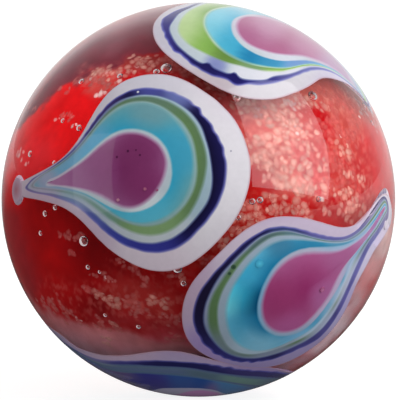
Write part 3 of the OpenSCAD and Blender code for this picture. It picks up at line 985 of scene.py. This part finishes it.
class DotTones:
    """The colours of one dot's bands, row by row across each band."""

    def __init__(self, palette):
        self.palette = palette

    def edge(self, level, inner, lifted):
        outer_tone, inner_tone, tints_and_shade = self.palette[level]
        return tinted_and_shaded(inner_tone if inner else outer_tone, tints_and_shade, *seen_pixels(lifted, False))

    def row(self, level, row, share, lifted):
        if row == SEAM_OUT:
            outside = self.edge(level - 1, True, lifted) if level else None
            return seam_colour(level, outside, self.edge(level, False, lifted))
        if row == SEAM_IN:
            inside = self.edge(level + 1, False, lifted)
            return seam_colour(level + 1, self.edge(level, True, lifted), inside)
        if row in (HALF_OUT, HALF_IN):
            return (self.row(level, row - 1, share, lifted) + self.row(level, row + 1, share, lifted)) / 2
        f = np.clip(share, 0, 1)[:, None]
        return self.edge(level, False, lifted) * (1 - f) + self.edge(level, True, lifted) * f


# How far below the next dot's edge a dot's white lies, where two come close
LOWER = {"D": 0.000008}
# Marks on the dots: (x, y, half width, height, middle tone, rim tone). The last pale one is
# the glass ring at the end of the left dot's tail.
DARK_MARKS = [
    (117, 157, 1.6, 0.4, (84, 28, 68), (118, 48, 98)),
    (128, 151, 1.7, 0.4, (70, 22, 60), (116, 46, 96)),
    (136, 150, 1.3, 0.3, (80, 26, 66), (116, 46, 96)),
    (140, 155, 1.4, 0.3, (74, 24, 62), (116, 44, 94)),
    (231, 151, 1.2, 0.2, (150, 144, 172), (216, 212, 222)),
    (233.5, 267, 3.2, 0.3, (42, 68, 54), (84, 116, 86)),
    (229.5, 273.5, 2.4, 0.3, (46, 74, 58), (88, 120, 88))]
PALE_MARKS = [
    (145, 189, 2.2, 1.0, (196, 120, 140), (150, 70, 120)),
    (157, 190, 1.6, 0.8, (190, 120, 150), (150, 70, 120)),
    (118, 200, 2.0, 1.0, (205, 150, 170), (190, 120, 150)),
    (259.5, 263.5, 5.5, 0.8, (96, 214, 246), (62, 160, 200)),
    (322, 289.5, 3.6, 1.6, (205, 130, 175), (170, 80, 130)),
    (385.6, 225, 5.5, 0.8, (238, 230, 240), (222, 205, 226)),
    (138, 92, 1.6, 0.4, (214, 214, 224), (190, 190, 210)),
    (17, 190, 15.0, 1.0, (189, 126, 140), (206, 186, 208))]


def make_dots():
    colours = {name: GlassMesh() for name in ("white", "navy", "green", "turquoise", "purple")}
    traced = {"A": (DOT_A, TONES_A), "B": (DOT_B, TONES_B), "C": (DOT_C, TONES_C), "D": (DOT_D, TONES_D)}
    dots = []
    for number, (name, (dot, tones)) in enumerate(traced.items()):
        dots.append((name, *traced_rings(dot, number), tones))
    for number, (name, place) in enumerate(CAD_DOTS.items(), 10):
        dots.append((name, *plain_rings(place, number), PLAIN_TONES))
    for name, spot, rings, palette in dots:
        tones = DotTones(palette)
        for level in range(LEVELS - 1):
            glass = colours[GLASS_OF_LEVEL[level]]
            depth_out = FULL_DEPTH if level else EDGE_DEPTH
            lower = 0 if level else LOWER.get(name, 0)
            glass.band(spot, rings[level], rings[level + 1], level, tones, depth_out, lower)
        colours[GLASS_OF_LEVEL[-1]].centre(spot, rings[-1], tones)
    for mark in DARK_MARKS:
        colours["navy"].bead(*mark)
    for mark in PALE_MARKS:
        colours["white"].bead(*mark)
    return {name: glass.build(name + "_raked_dots") for name, glass in colours.items()}


# ---------------------------------------------------------------- clear ball and its bubbles
def ball_faces(rows, around):
    """Faces of a ball whose points are a pole, rows of points round it, and the far pole."""
    faces = []
    last = 1 + (rows - 1) * around
    for i in range(around):
        k = (i + 1) % around
        faces.append((0, 1 + i, 1 + k))
        faces.append((last + i, last + around, last + k))
        for a in range(1, last, around):
            faces.append((a + i, a + i + around, a + k + around, a + k))
    return faces


def sphere_parts(radius, around, down):
    """Points and faces of a ball in rings from its top."""
    t = np.repeat(math.pi * np.arange(1, down) / down, around)
    p = np.tile(TURN * np.arange(around) / around, down - 1)
    body = np.stack([np.sin(t) * np.cos(p), np.sin(t) * np.sin(p), np.cos(t)], axis=1)
    return radius * np.concatenate([[[0, 0, 1]], body, [[0, 0, -1]]]), ball_faces(down - 1, around)


# Air bubbles in the photograph: x, y, radius in pixels and depth in pixels
BUBBLES = [
    (176.5, 272.5, 5.0, 16), (155, 68, 3.4, 10), (165, 63, 6.0, 14), (41.5, 214, 3.2, 9),
    (52, 207.7, 2.8, 8), (37, 234, 2.6, 9), (79, 243, 5.6, 14), (85, 269, 2.6, 9), (97, 274, 2.0, 9),
    (262, 200, 3.6, 9), (254, 201.5, 3.4, 9), (317, 92, 5.4, 14), (238, 95, 3.6, 8), (79, 79, 3.4, 9),
    (118, 73, 3.2, 9), (60, 119, 2.6, 8), (76, 126, 3.4, 9), (183, 286, 3.0, 9), (239.6, 218, 3.0, 8),
    (51, 162, 2.4, 8), (103, 318, 2.2, 9), (322, 199, 3.0, 9), (366, 104, 3.2, 9), (374, 122, 3.0, 9),
    (137, 330, 2.6, 9), (27, 153, 3.4, 9)]
# On the far side, by azimuth and elevation, with their radius in metres
FAR_BUBBLES = [
    (22, 10, 0.00031), (40, 42, 0.00034), (150, -24, 0.00031), (92, -52, 0.00028), (85, -8, 0.0004),
    (145, 55, 0.0003), (10, -30, 0.00035), (165, 12, 0.0003), (120, -38, 0.00034), (75, 62, 0.0003)]
FAR_BUBBLE_DEPTH = 0.0012


def make_ball():
    """The clear ball, with each bubble a small ball of its own turned inside out."""
    ball, faces = sphere_parts(BALL_R - GLASS_GAP, GLASS_SIDES, GLASS_SIDES // 2)
    verts = [ball]
    count = len(ball)
    places = []
    for x, y, radius, depth in BUBBLES:
        places.append((on_ball(x, y) * (BALL_R - depth * PIXEL), radius * PIXEL))
    for azimuth, elevation, radius in FAR_BUBBLES:
        places.append((aim(azimuth, elevation).axis * (BALL_R - FAR_BUBBLE_DEPTH), radius))
    for middle, radius in places:
        small, own = sphere_parts(radius, BUBBLE_SIDES, BUBBLE_ROWS)
        verts.append(small + middle)
        faces += [tuple(v + count for v in f[::-1]) for f in own]
        count += len(small)
    made = mesh_object("clear_ball", np.concatenate(verts), faces)
    made.data.shade_smooth()
    return made


# ---------------------------------------------------------------- red core
CORE_AROUND = 400
CORE_NEAR_ROWS = 120
CORE_FAR_ROWS = 46
# The share of the ball's radius at which the near rows end
CORE_NEAR_EDGE = 0.995
RED = (188, 16, 22)
# Soft strokes of colour in the core: (x0, y0, x1, y1, half width, soft edge, colour)
# Some strokes paint light and shade: the brighter reds at the upper left are painted light, the darker
# reds at the lower left painted shade.
CORE_STROKES = [
    (60, 105, 70, 150, 46, 24, (218, 20, 24)), (18, 180, 40, 150, 18, 18, (214, 40, 46)),
    (70, 235, 130, 305, 62, 26, (152, 11, 14)), (88, 246, 112, 262, 16, 16, (122, 8, 12)),
    (95, 304, 112, 312, 12, 12, (128, 8, 12)), (52, 262, 62, 290, 12, 12, (166, 12, 14)),
    (12, 220, 30, 285, 10, 12, (148, 30, 36)), (205, 250, 262, 205, 24, 14, (184, 26, 22)),
    (262, 205, 325, 212, 12, 10, (190, 26, 26)), (360, 205, 374, 140, 22, 16, (204, 30, 36)),
    (335, 110, 350, 190, 34, 20, (196, 46, 48)), (330, 205, 340, 214, 12, 8, (182, 20, 28)),
    (88, 74, 120, 70, 6, 6, (176, 92, 86)), (126, 62, 190, 66, 9, 8, (150, 50, 48)),
    (186, 66, 226, 98, 12, 8, (150, 44, 42)), (96, 90, 112, 80, 8, 6, (196, 60, 56)),
    (262, 115, 298, 160, 26, 16, (202, 84, 80)), (255, 150, 290, 172, 18, 12, (200, 84, 80)),
    (276, 186, 320, 190, 10, 8, (200, 88, 82)), (300, 150, 312, 178, 9, 8, (194, 50, 58)),
    (252, 178, 270, 184, 7, 6, (184, 40, 48)), (234, 108, 262, 102, 14, 10, (190, 78, 80)),
    (268, 104, 292, 98, 8, 8, (206, 120, 116)), (306, 86, 352, 96, 14, 10, (216, 106, 96)),
    (340, 112, 356, 120, 16, 12, (200, 88, 80)), (338, 128, 346, 150, 10, 10, (196, 66, 60)),
    (340, 175, 352, 212, 9, 8, (194, 62, 58)), (317, 112, 329, 134, 5, 5, (190, 12, 20)),
    (318, 145, 322, 190, 5, 6, (194, 44, 50)), (120, 292, 165, 305, 16, 12, (164, 40, 38)),
    (96, 322, 180, 322, 8, 9, (150, 34, 38)), (150, 345, 215, 345, 14, 10, (196, 84, 96)),
    (380, 240, 384, 228, 16, 8, (232, 196, 190)), (380, 246, 370, 264, 10, 12, (232, 186, 186)),
    (368, 268, 356, 292, 10, 14, (224, 156, 158)), (352, 300, 340, 322, 12, 16, (222, 184, 190)),
    (340, 328, 318, 348, 12, 16, (240, 214, 222)), (280, 368, 304, 357, 8, 10, (212, 160, 172))]
# Where the plain mauve glass at the top left meets the red, and where the pale pink band below begins:
# painted light, the floor's light seen through the clear glass over the red.
MAUVE_EDGE = [
    (20, 130), (37.7, 107), (60, 94.5), (79, 81), (91, 69), (118, 70), (129.5, 61), (145, 54),
    (175, 50)]
MAUVE = [(0, (126, 44, 56)), (10, (112, 46, 58)), (28, (122, 74, 84)), (50, (156, 102, 110))]
PINK_EDGE = [
    (20, 288), (30.6, 298), (55, 315), (76.5, 320), (106, 327.5), (140, 334), (182, 341), (240, 352)]
PINK = [(0, (188, 104, 106)), (12, (198, 126, 132)), (30, (200, 152, 160))]
FAR_STROKES = 26
# Where crumbs too fine to stand up lie in the core's face, and the most that they cover
DUST = [
    (344, 116, 350, 196, 26, 12, 0.42, (224, 138, 122)),
    (262, 112, 300, 186, 26, 12, 0.5, (230, 150, 136)), (306, 96, 350, 98, 10, 8, 0.6, (226, 150, 136)),
    (206, 252, 262, 206, 14, 8, 0.4, (202, 112, 94)), (262, 206, 330, 208, 10, 8, 0.4, (200, 104, 90)),
    (60, 296, 176, 310, 18, 12, 0.5, (186, 98, 90)), (88, 78, 224, 82, 12, 8, 0.45, (188, 112, 104)),
    (120, 262, 184, 278, 12, 10, 0.4, (176, 84, 76))]
DUST_SCALE = 2400
FAR_DUST = 0.3
FAR_DUST_TONE = (216, 120, 106)
FAR_TONES = [(214, 104, 90), (226, 30, 36), (168, 16, 20), (196, 128, 122), (206, 76, 70)]
FAR_REACH = (0.002, 0.005)
CORE_SEED = 5
# Noise in the glass, in lumps a metre: broad drifts and fine clouds, with how far each
# carries the strokes, in pixels, and how much it changes their tone
WIDE_SCALE = 420
FINE_SCALE = 1300
WIDE_SHIFT = 5
FINE_SHIFT = 2
WIDE_TONE = 0.06
FINE_TONE = 0.04
LUMP_ROUGHNESS = 0.8
LUMP_STEP = 2.0
SEED_SHIFT = (7.1, 3.7, 5.3)
# How far behind the view's edge the strokes fade out, and over how much
SEEN_BEHIND = 0.2
SEEN_SOFT = 0.4
SEEN_LUMPS = 0.3
# A far stroke fades out at FAR_END times its reach
FAR_LUMPS = 0.25
FAR_END = 1.4
# Dust: its cover where the noise is 0, how much that noise changes it, and its detail
DUST_BASE = 0.15
DUST_CONTRAST = 2.4
DUST_OCTAVES = 2
# Pixels over which the mauve and the pink turn to red, across their edge and at their end
MAUVE_SOFT = 5
MAUVE_END = (190, 12)
PINK_SOFT = 7
PINK_END = (250, 30)


def stroke_share(px, py, x0, y0, x1, y1, radius, soft):
    """1 along a stroke, falling to 0 across its soft edge."""
    dx, dy = x1 - x0, y1 - y0
    t = np.clip(((px - x0) * dx + (py - y0) * dy) / max(dx * dx + dy * dy, TINY), 0, 1)
    away = np.hypot(px - x0 - t * dx, py - y0 - t * dy)
    s = np.clip((radius + soft - away) / (2 * soft), 0, 1)
    return s * s * (3 - 2 * s)


def blend(colour, share, other):
    return colour * (1 - share[:, None]) + np.asarray(other, dtype=float) * share[:, None]


def layer(tones, px, depth, seen, soft, end, stops):
    """Glass of its own tones on one side of an edge, by depth past it, up to an end."""
    stop, fade = end
    share = seen * np.clip(depth / soft + 0.5, 0, 1) * np.clip((stop - px) / fade, 0, 1)
    places, colours = zip(*stops)
    own = np.stack([np.interp(depth, places, channel) for channel in zip(*colours)], axis=1)
    return blend(tones, share, own)


def lumps(spots, scale, seed, octaves=3):
    """Smooth noise from -1 to 1 at each point."""
    offset = mathutils.Vector([seed * shift for shift in SEED_SHIFT])
    noise = mathutils.noise.fractal
    return np.array([noise(mathutils.Vector(s) * scale + offset, LUMP_ROUGHNESS, LUMP_STEP, octaves)
                     for s in spots])


def core_tones(spots):
    """The colour of the core's face at each point, as it is seen through the clear glass."""
    px, py, facing = seen_pixels(spots, True)
    wide = lumps(spots, WIDE_SCALE, 1)
    fine = lumps(spots, FINE_SCALE, 2)
    px = px + WIDE_SHIFT * wide + FINE_SHIFT * fine
    py = py + WIDE_SHIFT * lumps(spots, WIDE_SCALE, 3) + FINE_SHIFT * fine
    tones = np.tile(np.array(RED, dtype=float), (len(spots), 1))
    # 1 on the side that the photograph shows, and 0 behind it
    seen = np.clip((facing + SEEN_BEHIND) / SEEN_SOFT + SEEN_LUMPS * wide, 0, 1)
    for *stroke, colour in CORE_STROKES:
        tones = blend(tones, seen * stroke_share(px, py, *stroke), colour)
    above = np.interp(px, *zip(*MAUVE_EDGE)) - py
    tones = layer(tones, px, above, seen, MAUVE_SOFT, MAUVE_END, MAUVE)
    below = py - np.interp(px, *zip(*PINK_EDGE))
    tones = layer(tones, px, below, seen, PINK_SOFT, PINK_END, PINK)
    draw = random.Random(CORE_SEED)
    for _ in range(FAR_STROKES):
        middle = unit([draw.gauss(0, 1), draw.gauss(0.8, 1), draw.gauss(0, 1)]) * CORE_R
        reach = draw.uniform(*FAR_REACH)
        colour = draw.choice(FAR_TONES)
        away = np.linalg.norm(spots - middle, axis=1) / reach + FAR_LUMPS * wide
        tones = blend(tones, (1 - seen) * np.clip(FAR_END - away, 0, 1), colour)
    specks = lumps(spots, DUST_SCALE, 4, DUST_OCTAVES)
    specks = np.clip(DUST_BASE + DUST_CONTRAST * specks, 0, 1)
    for *stroke, most, colour in DUST:
        tones = blend(tones, seen * specks * most * stroke_share(px, py, *stroke), colour)
    tones = blend(tones, (1 - seen) * specks * FAR_DUST * np.clip(1 + 2 * wide, 0, 1), FAR_DUST_TONE)
    return tones * (1 + WIDE_TONE * wide + FINE_TONE * fine)[:, None]


def make_core():
    """The core, meshed in rings about the line of sight, so that they lie evenly in the view."""
    near = glass_turn(np.linspace(0, CORE_NEAR_EDGE, CORE_NEAR_ROWS + 1)[1:])
    far = np.linspace(near[-1], math.pi, CORE_FAR_ROWS + 1)[1:-1]
    turns = np.concatenate([near, far])
    around = TURN * np.arange(CORE_AROUND) / CORE_AROUND
    t, p = np.repeat(turns, CORE_AROUND), np.tile(around, len(turns))
    body = np.outer(np.cos(t), TOWARD) + np.outer(np.sin(t) * np.cos(p), RIGHT)
    body += np.outer(np.sin(t) * np.sin(p), UP)
    spots = CORE_R * np.concatenate([[TOWARD], body, [-TOWARD]])
    return toned_object("core_ball", spots, ball_faces(len(turns), CORE_AROUND), core_tones(spots))


# ---------------------------------------------------------------- frit on the core
# Tones of grains: at the rim, and on top
PEACH = ((214, 130, 114), (234, 186, 170))
BROWN = ((184, 112, 98), (206, 160, 146))
DUSK = ((164, 66, 64), (184, 106, 100))
ROSE = ((200, 66, 64), (210, 104, 98))
GREY = ((190, 140, 138), (216, 184, 180))
WHITE = ((240, 224, 216), (250, 242, 238))
# Drifts of grains: (x0, y0, x1, y1, half width, count, smallest, largest across, tones)
DRIFTS = [
    (266, 108, 298, 140, 22, 54, 6, 10, PEACH), (255, 146, 300, 165, 20, 48, 6, 10, PEACH),
    (254, 140, 262, 165, 8, 14, 6, 9, PEACH), (288, 118, 306, 140, 10, 22, 5, 9, PEACH),
    (262, 168, 280, 182, 8, 18, 5, 9, PEACH), (276, 184, 320, 188, 9, 36, 6, 10, PEACH),
    (296, 190, 300, 192, 5, 8, 7, 10, PEACH), (300, 164, 310, 168, 5, 6, 6, 9, PEACH),
    (300, 140, 308, 152, 6, 7, 5, 8, PEACH), (318, 156, 324, 170, 4, 8, 5, 8, PEACH),
    (238, 104, 258, 110, 9, 18, 5, 8, BROWN), (256, 112, 260, 114, 3, 4, 6, 8, GREY),
    (284, 102, 294, 108, 5, 8, 5, 8, GREY), (266, 102, 300, 98, 6, 14, 5, 8, ROSE),
    (300, 100, 326, 110, 5, 16, 5, 8, PEACH), (306, 84, 362, 96, 10, 50, 5, 8, ROSE),
    (332, 96, 362, 122, 12, 56, 5, 8, ROSE), (326, 130, 364, 200, 22, 70, 4, 8, ROSE),
    (318, 120, 332, 136, 6, 14, 5, 8, ROSE), (334, 126, 354, 142, 9, 30, 5, 8, ROSE),
    (338, 146, 350, 152, 6, 12, 5, 8, PEACH), (328, 150, 346, 174, 10, 44, 4, 7, ROSE),
    (344, 174, 362, 180, 5, 14, 5, 8, PEACH), (326, 182, 346, 187, 5, 14, 5, 8, ROSE),
    (328, 190, 352, 192, 5, 16, 5, 8, PEACH), (348, 192, 357, 206, 5, 12, 5, 8, PEACH),
    (342, 206, 362, 212, 6, 20, 5, 9, PEACH), (343, 217, 352, 222, 3, 6, 5, 8, PEACH),
    (300, 202, 306, 216, 4, 9, 5, 9, PEACH), (320, 204, 327, 213, 3, 6, 4, 7, PEACH),
    (280, 206, 296, 212, 5, 10, 5, 8, BROWN), (265, 208, 274, 213, 4, 9, 5, 8, PEACH),
    (263, 195, 274, 199, 3, 7, 5, 8, PEACH), (245, 204, 260, 214, 6, 14, 5, 8, PEACH),
    (238, 215, 254, 225, 6, 17, 5, 8, PEACH), (228, 224, 248, 235, 7, 22, 5, 8, PEACH),
    (212, 239, 228, 247, 6, 13, 5, 8, PEACH), (198, 263, 214, 256, 5, 10, 4, 7, ROSE),
    (224, 240, 238, 231, 5, 9, 4, 7, ROSE), (60, 231, 76, 239, 3, 13, 3, 6, DUSK),
    (76, 236, 84, 234, 2, 5, 3, 6, DUSK), (68, 252, 76, 253, 2, 6, 3, 6, DUSK),
    (84, 287, 96, 292, 2, 9, 4, 7, DUSK), (94, 292, 112, 298, 3, 14, 4, 7, BROWN),
    (106, 299, 121, 307, 3, 15, 4, 7, BROWN), (110, 296, 118, 300, 2, 7, 4, 7, BROWN),
    (124, 297, 144, 309, 6, 24, 3, 7, DUSK), (150, 299, 166, 303, 4, 17, 4, 7, BROWN),
    (132, 263, 147, 283, 4, 18, 3, 6, DUSK), (119, 259, 127, 265, 2, 6, 3, 5, DUSK),
    (103, 275, 114, 281, 3, 10, 3, 6, DUSK), (91, 273, 99, 275, 2, 4, 3, 5, DUSK),
    (179, 271, 184, 283, 3, 9, 4, 6, PEACH), (166, 270, 175, 279, 4, 9, 3, 6, DUSK),
    (96, 317, 109, 329, 3, 10, 4, 6, DUSK), (109, 319, 120, 329, 2, 11, 3, 6, BROWN),
    (48, 300, 74, 317, 6, 26, 4, 7, DUSK), (75, 317, 81, 320, 2, 4, 3, 5, GREY),
    (80, 323, 122, 330, 3, 18, 3, 6, DUSK), (103, 335, 111, 345, 4, 10, 4, 7, BROWN),
    (168, 336, 186, 340, 3, 12, 4, 7, DUSK), (38, 299, 52, 309, 3, 9, 3, 6, DUSK),
    (126, 311, 180, 319, 7, 30, 3, 6, DUSK), (76, 82, 92, 78, 3, 12, 4, 6, DUSK),
    (92, 74, 134, 72, 5, 34, 4, 7, BROWN), (94, 80, 114, 88, 5, 20, 4, 7, DUSK),
    (132, 58, 154, 70, 6, 26, 4, 7, BROWN), (156, 56, 190, 68, 7, 34, 4, 7, DUSK),
    (60, 88, 72, 92, 3, 7, 3, 6, DUSK), (186, 66, 222, 92, 7, 34, 4, 7, DUSK),
    (28, 104, 36, 110, 2, 4, 3, 5, DUSK), (56, 118, 66, 115, 2, 5, 3, 5, ROSE),
    (66, 112, 80, 124, 4, 6, 3, 5, ROSE), (18, 150, 27, 164, 3, 9, 3, 6, GREY),
    (366, 98, 372, 122, 3, 12, 4, 7, GREY), (373, 118, 378, 132, 2, 8, 3, 6, GREY),
    (354, 98, 364, 112, 3, 9, 4, 7, GREY)]
# Single pale grains, many of them painted highlights: the bright rims of bubbles and a white glint near
# (101, 94). Each is (x, y, across, tones).
PALE_GRAINS_AND_GLINTS = [
    (97, 96, 6, WHITE), (101, 94, 8, WHITE), (105, 93, 6, WHITE), (320.6, 199, 6, WHITE),
    (119.5, 82, 6, WHITE), (296, 133, 6, WHITE), (299, 128, 7, GREY), (294, 125, 6, GREY),
    (340, 136, 5, WHITE), (116, 326, 4, WHITE), (77.5, 319, 4, WHITE), (106, 277, 4, WHITE),
    (306, 187, 5, WHITE), (359, 117, 4, WHITE), (56, 120, 5, WHITE), (61, 118, 5, WHITE),
    (77, 125, 4, WHITE), (73, 127, 4, GREY), (91, 79, 5, GREY), (107, 73, 5, GREY), (137, 67, 5, GREY),
    (24, 152, 5, WHITE), (22, 160, 5, GREY)]
FRIT_SEED = 11
FAR_DRIFTS = 22
GRAINS_A_DRIFT = 24
FAR_GRAIN = (0.0006, 0.0011)
# Half the length of a far drift, and how wide it scatters, in shares of the ball's radius
FAR_DRIFT_HALF = 0.32
FAR_SCATTER = 0.07
# How wide a drift scatters its grains, in shares of its half width
DRIFT_SCATTER = 0.55
GRAIN_AROUND = 8
GRAIN_DOWN = 6
GRAIN_SIZE = 1.22
# A grain's height in shares of its width, and the share of its height by which it is sunk
GRAIN_RISE = 0.08
GRAIN_SUNK = 0.46
# How irregular a grain is: its lobes, how far they swell, their waves, and how long, how
# high, how light and how thin one grain is beside another
GRAIN_LOBES = 3
GRAIN_SWELL = 0.15
LOBE_WAVES = (2, 5)
LONG_RANGE = (0.8, 1.3)
HIGH_RANGE = (0.8, 1.2)
LIGHT_RANGE = (0.9, 1.06)
COVER_RANGE = (0.6, 1)
# How far a grain's shading turns from the core's, how much of the core's tone it covers,
# and the share of its height over which it thickens to that
GRAIN_FACING = 0.35
GRAIN_COVER = 0.85
GRAIN_EDGE = 0.42


class Frit:
    """Collects irregular grains, each sunk a little in the core."""

    def __init__(self):
        self.draw = random.Random(FRIT_SEED)
        self.shape, self.shape_faces = sphere_parts(1.0, GRAIN_AROUND, GRAIN_DOWN)
        self.verts, self.faces, self.tones, self.cover = [], [], [], []

    def any_way(self):
        return [self.draw.gauss(0, 1) for _ in range(3)]

    def grain(self, axis, across, tones):
        draw = self.draw
        z = unit(axis)
        x = unit(np.cross(z, self.any_way()))
        y = np.cross(z, x)
        lobes = []
        for _ in range(GRAIN_LOBES):
            lobes.append((unit(self.any_way()), draw.uniform(0, 6), draw.uniform(*LOBE_WAVES)))
        swell = 1 + sum(GRAIN_SWELL * np.sin(f * self.shape @ d + p) for d, p, f in lobes)
        s = self.shape * swell[:, None]
        half = across / 2
        long = draw.uniform(*LONG_RANGE)
        rise = GRAIN_RISE * half * draw.uniform(*HIGH_RANGE)
        local = np.outer(s[:, 0] * half * long, x) + np.outer(s[:, 1] * half / long, y)
        local += np.outer(s[:, 2] * rise, z)
        start = len(self.verts) * len(self.shape)
        self.verts.append(z * (CORE_R - rise * GRAIN_SUNK) + local)
        self.faces += [tuple(start + v for v in f) for f in self.shape_faces]
        out = np.clip(np.hypot(self.shape[:, 0], self.shape[:, 1]), 0, 1)[:, None]
        at_rim, on_top = (np.array(t, dtype=float) for t in tones)
        self.tones.append((at_rim * out + on_top * (1 - out)) * draw.uniform(*LIGHT_RANGE))
        # thin at its edge, where the glass under it shows through
        thick = np.clip((self.shape[:, 2:] - GRAIN_SUNK) / GRAIN_EDGE, 0, 1)
        self.cover.append(GRAIN_COVER * thick * draw.uniform(*COVER_RANGE))

    def drift(self, x0, y0, x1, y1, half, count, small, large, tones):
        draw = self.draw
        for _ in range(count):
            t = draw.random()
            x = x0 + t * (x1 - x0) + half * draw.gauss(0, DRIFT_SCATTER)
            y = y0 + t * (y1 - y0) + half * draw.gauss(0, DRIFT_SCATTER)
            self.grain(in_glass(x, y), draw.uniform(small, large) * GRAIN_SIZE * PIXEL, tones)

    def far_drift(self):
        """A drift on the side away from the photograph's view."""
        draw = self.draw
        middle = unit([draw.gauss(0, 0.9), abs(draw.gauss(0.7, 0.6)) + 0.1, draw.gauss(0, 0.8)])
        along = unit(np.cross(middle, self.any_way()))
        tones = draw.choice([PEACH, BROWN, DUSK, ROSE, PEACH])
        for _ in range(GRAINS_A_DRIFT):
            place = middle + along * draw.uniform(-FAR_DRIFT_HALF, FAR_DRIFT_HALF)
            place = place + FAR_SCATTER * np.array(self.any_way())
            self.grain(place, draw.uniform(*FAR_GRAIN), tones)

    def build(self):
        spots = np.concatenate(self.verts)
        cover = np.concatenate(self.cover)
        tones = core_tones(spots) * (1 - cover) + np.concatenate(self.tones) * cover
        made = toned_object("frit_grains", spots, self.faces, tones)
        # melted into the core, so a grain's sides turn softly into it
        own = np.empty(len(spots) * 3)
        made.data.vertex_normals.foreach_get("vector", own)
        soft = outward(outward(spots) + GRAIN_FACING * own.reshape(-1, 3))
        made.data.normals_split_custom_set_from_vertices(soft.tolist())
        return made


def make_frit():
    frit = Frit()
    for drift in DRIFTS:
        frit.drift(*drift)
    for x, y, across, tones in PALE_GRAINS_AND_GLINTS:
        frit.grain(in_glass(x, y), across * GRAIN_SIZE * PIXEL, tones)
    for _ in range(FAR_DRIFTS):
        frit.far_drift()
    return frit.build()


# ---------------------------------------------------------------- materials
CAUGHT_LIGHT = (0.6, 0.52, 0.53, 1)
# The clear glass is a trace less clear in patches
GLASS_CLOUD = (300, 2)
GLASS_TINTS = [(0.35, (0.985, 0.985, 0.99, 1)), (0.65, (1, 1, 1, 1))]
# The coloured glass's mottling: its detail and roughness, and the span of noise that it takes
MOTTLE_NOISE = (4, 0.6)
MOTTLE_SPAN = (0.25, 0.75)


def glass_material():
    made, n, shader = new_material("clear_glass", Roughness=0.0, IOR=GLASS_IOR, Transmission_Weight=1.0)
    n.put(n.ramp(n.noise(*GLASS_CLOUD), GLASS_TINTS), shader.inputs["Base Color"])
    # light caught between the core and the surface, which a bubble turns to us
    mirrored, _, unscattered, _ = n.rays()
    inside = n.add("ShaderNodeNewGeometry").outputs["Backfacing"]
    trapped = n.maths("MULTIPLY", n.maths("MULTIPLY", mirrored, inside), unscattered)
    caught = n.shade("ShaderNodeEmission", CAUGHT_LIGHT)
    lit = n.shade("ShaderNodeMixShader", trapped, shader.outputs[0], caught)
    shadow = n.add("ShaderNodeLightPath").outputs["Is Shadow Ray"]
    clear = n.shade("ShaderNodeBsdfTransparent")
    n.add("ShaderNodeOutputMaterial", n.shade("ShaderNodeMixShader", shadow, lit, clear))
    return made


def toned_material(name, mottle, scale, roughness, specular):
    """Opaque glass in the colours that its mesh carries, with fine mottling."""
    made, n, shader = new_material(name, Roughness=roughness, IOR=GLASS_IOR, Specular_IOR_Level=specular)
    cloud = n.between(n.noise(scale, *MOTTLE_NOISE), *MOTTLE_SPAN, 1 - mottle, 1 + mottle)
    grey = n.shade("ShaderNodeCombineColor", cloud, cloud, cloud)
    tone = n.add("ShaderNodeAttribute", attribute_name="tone").outputs["Color"]
    n.put(n.mix(1.0, tone, grey, "MULTIPLY"), shader.inputs["Base Color"])
    n.add("ShaderNodeOutputMaterial", shader.outputs[0])
    return made


def keep(piece, made, node):
    piece.data.materials.append(made)
    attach(piece, "root")
    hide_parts(node)


# Each coloured glass's mottling and its lumps a metre, roughness and specular level
CORE_FINISH = (0.05, 900, 0.5, 0.0)
FRIT_FINISH = (0.12, 2600, 0.45, 0.15)
DOT_FINISH = (0.035, 1800, 0.05, 0.5)


def main():
    bpy.context.scene.view_settings.view_transform = "Standard"
    make_camera()
    make_lamps()
    make_world()
    make_floor()
    keep(make_ball(), glass_material(), "clear_glass")
    keep(make_core(), toned_material("red_core", *CORE_FINISH), "red_core")
    keep(make_frit(), toned_material("frit", *FRIT_FINISH), "frit")
    for name, piece in make_dots().items():
        keep(piece, toned_material(name + "_glass", *DOT_FINISH), name + "_glass")


main()
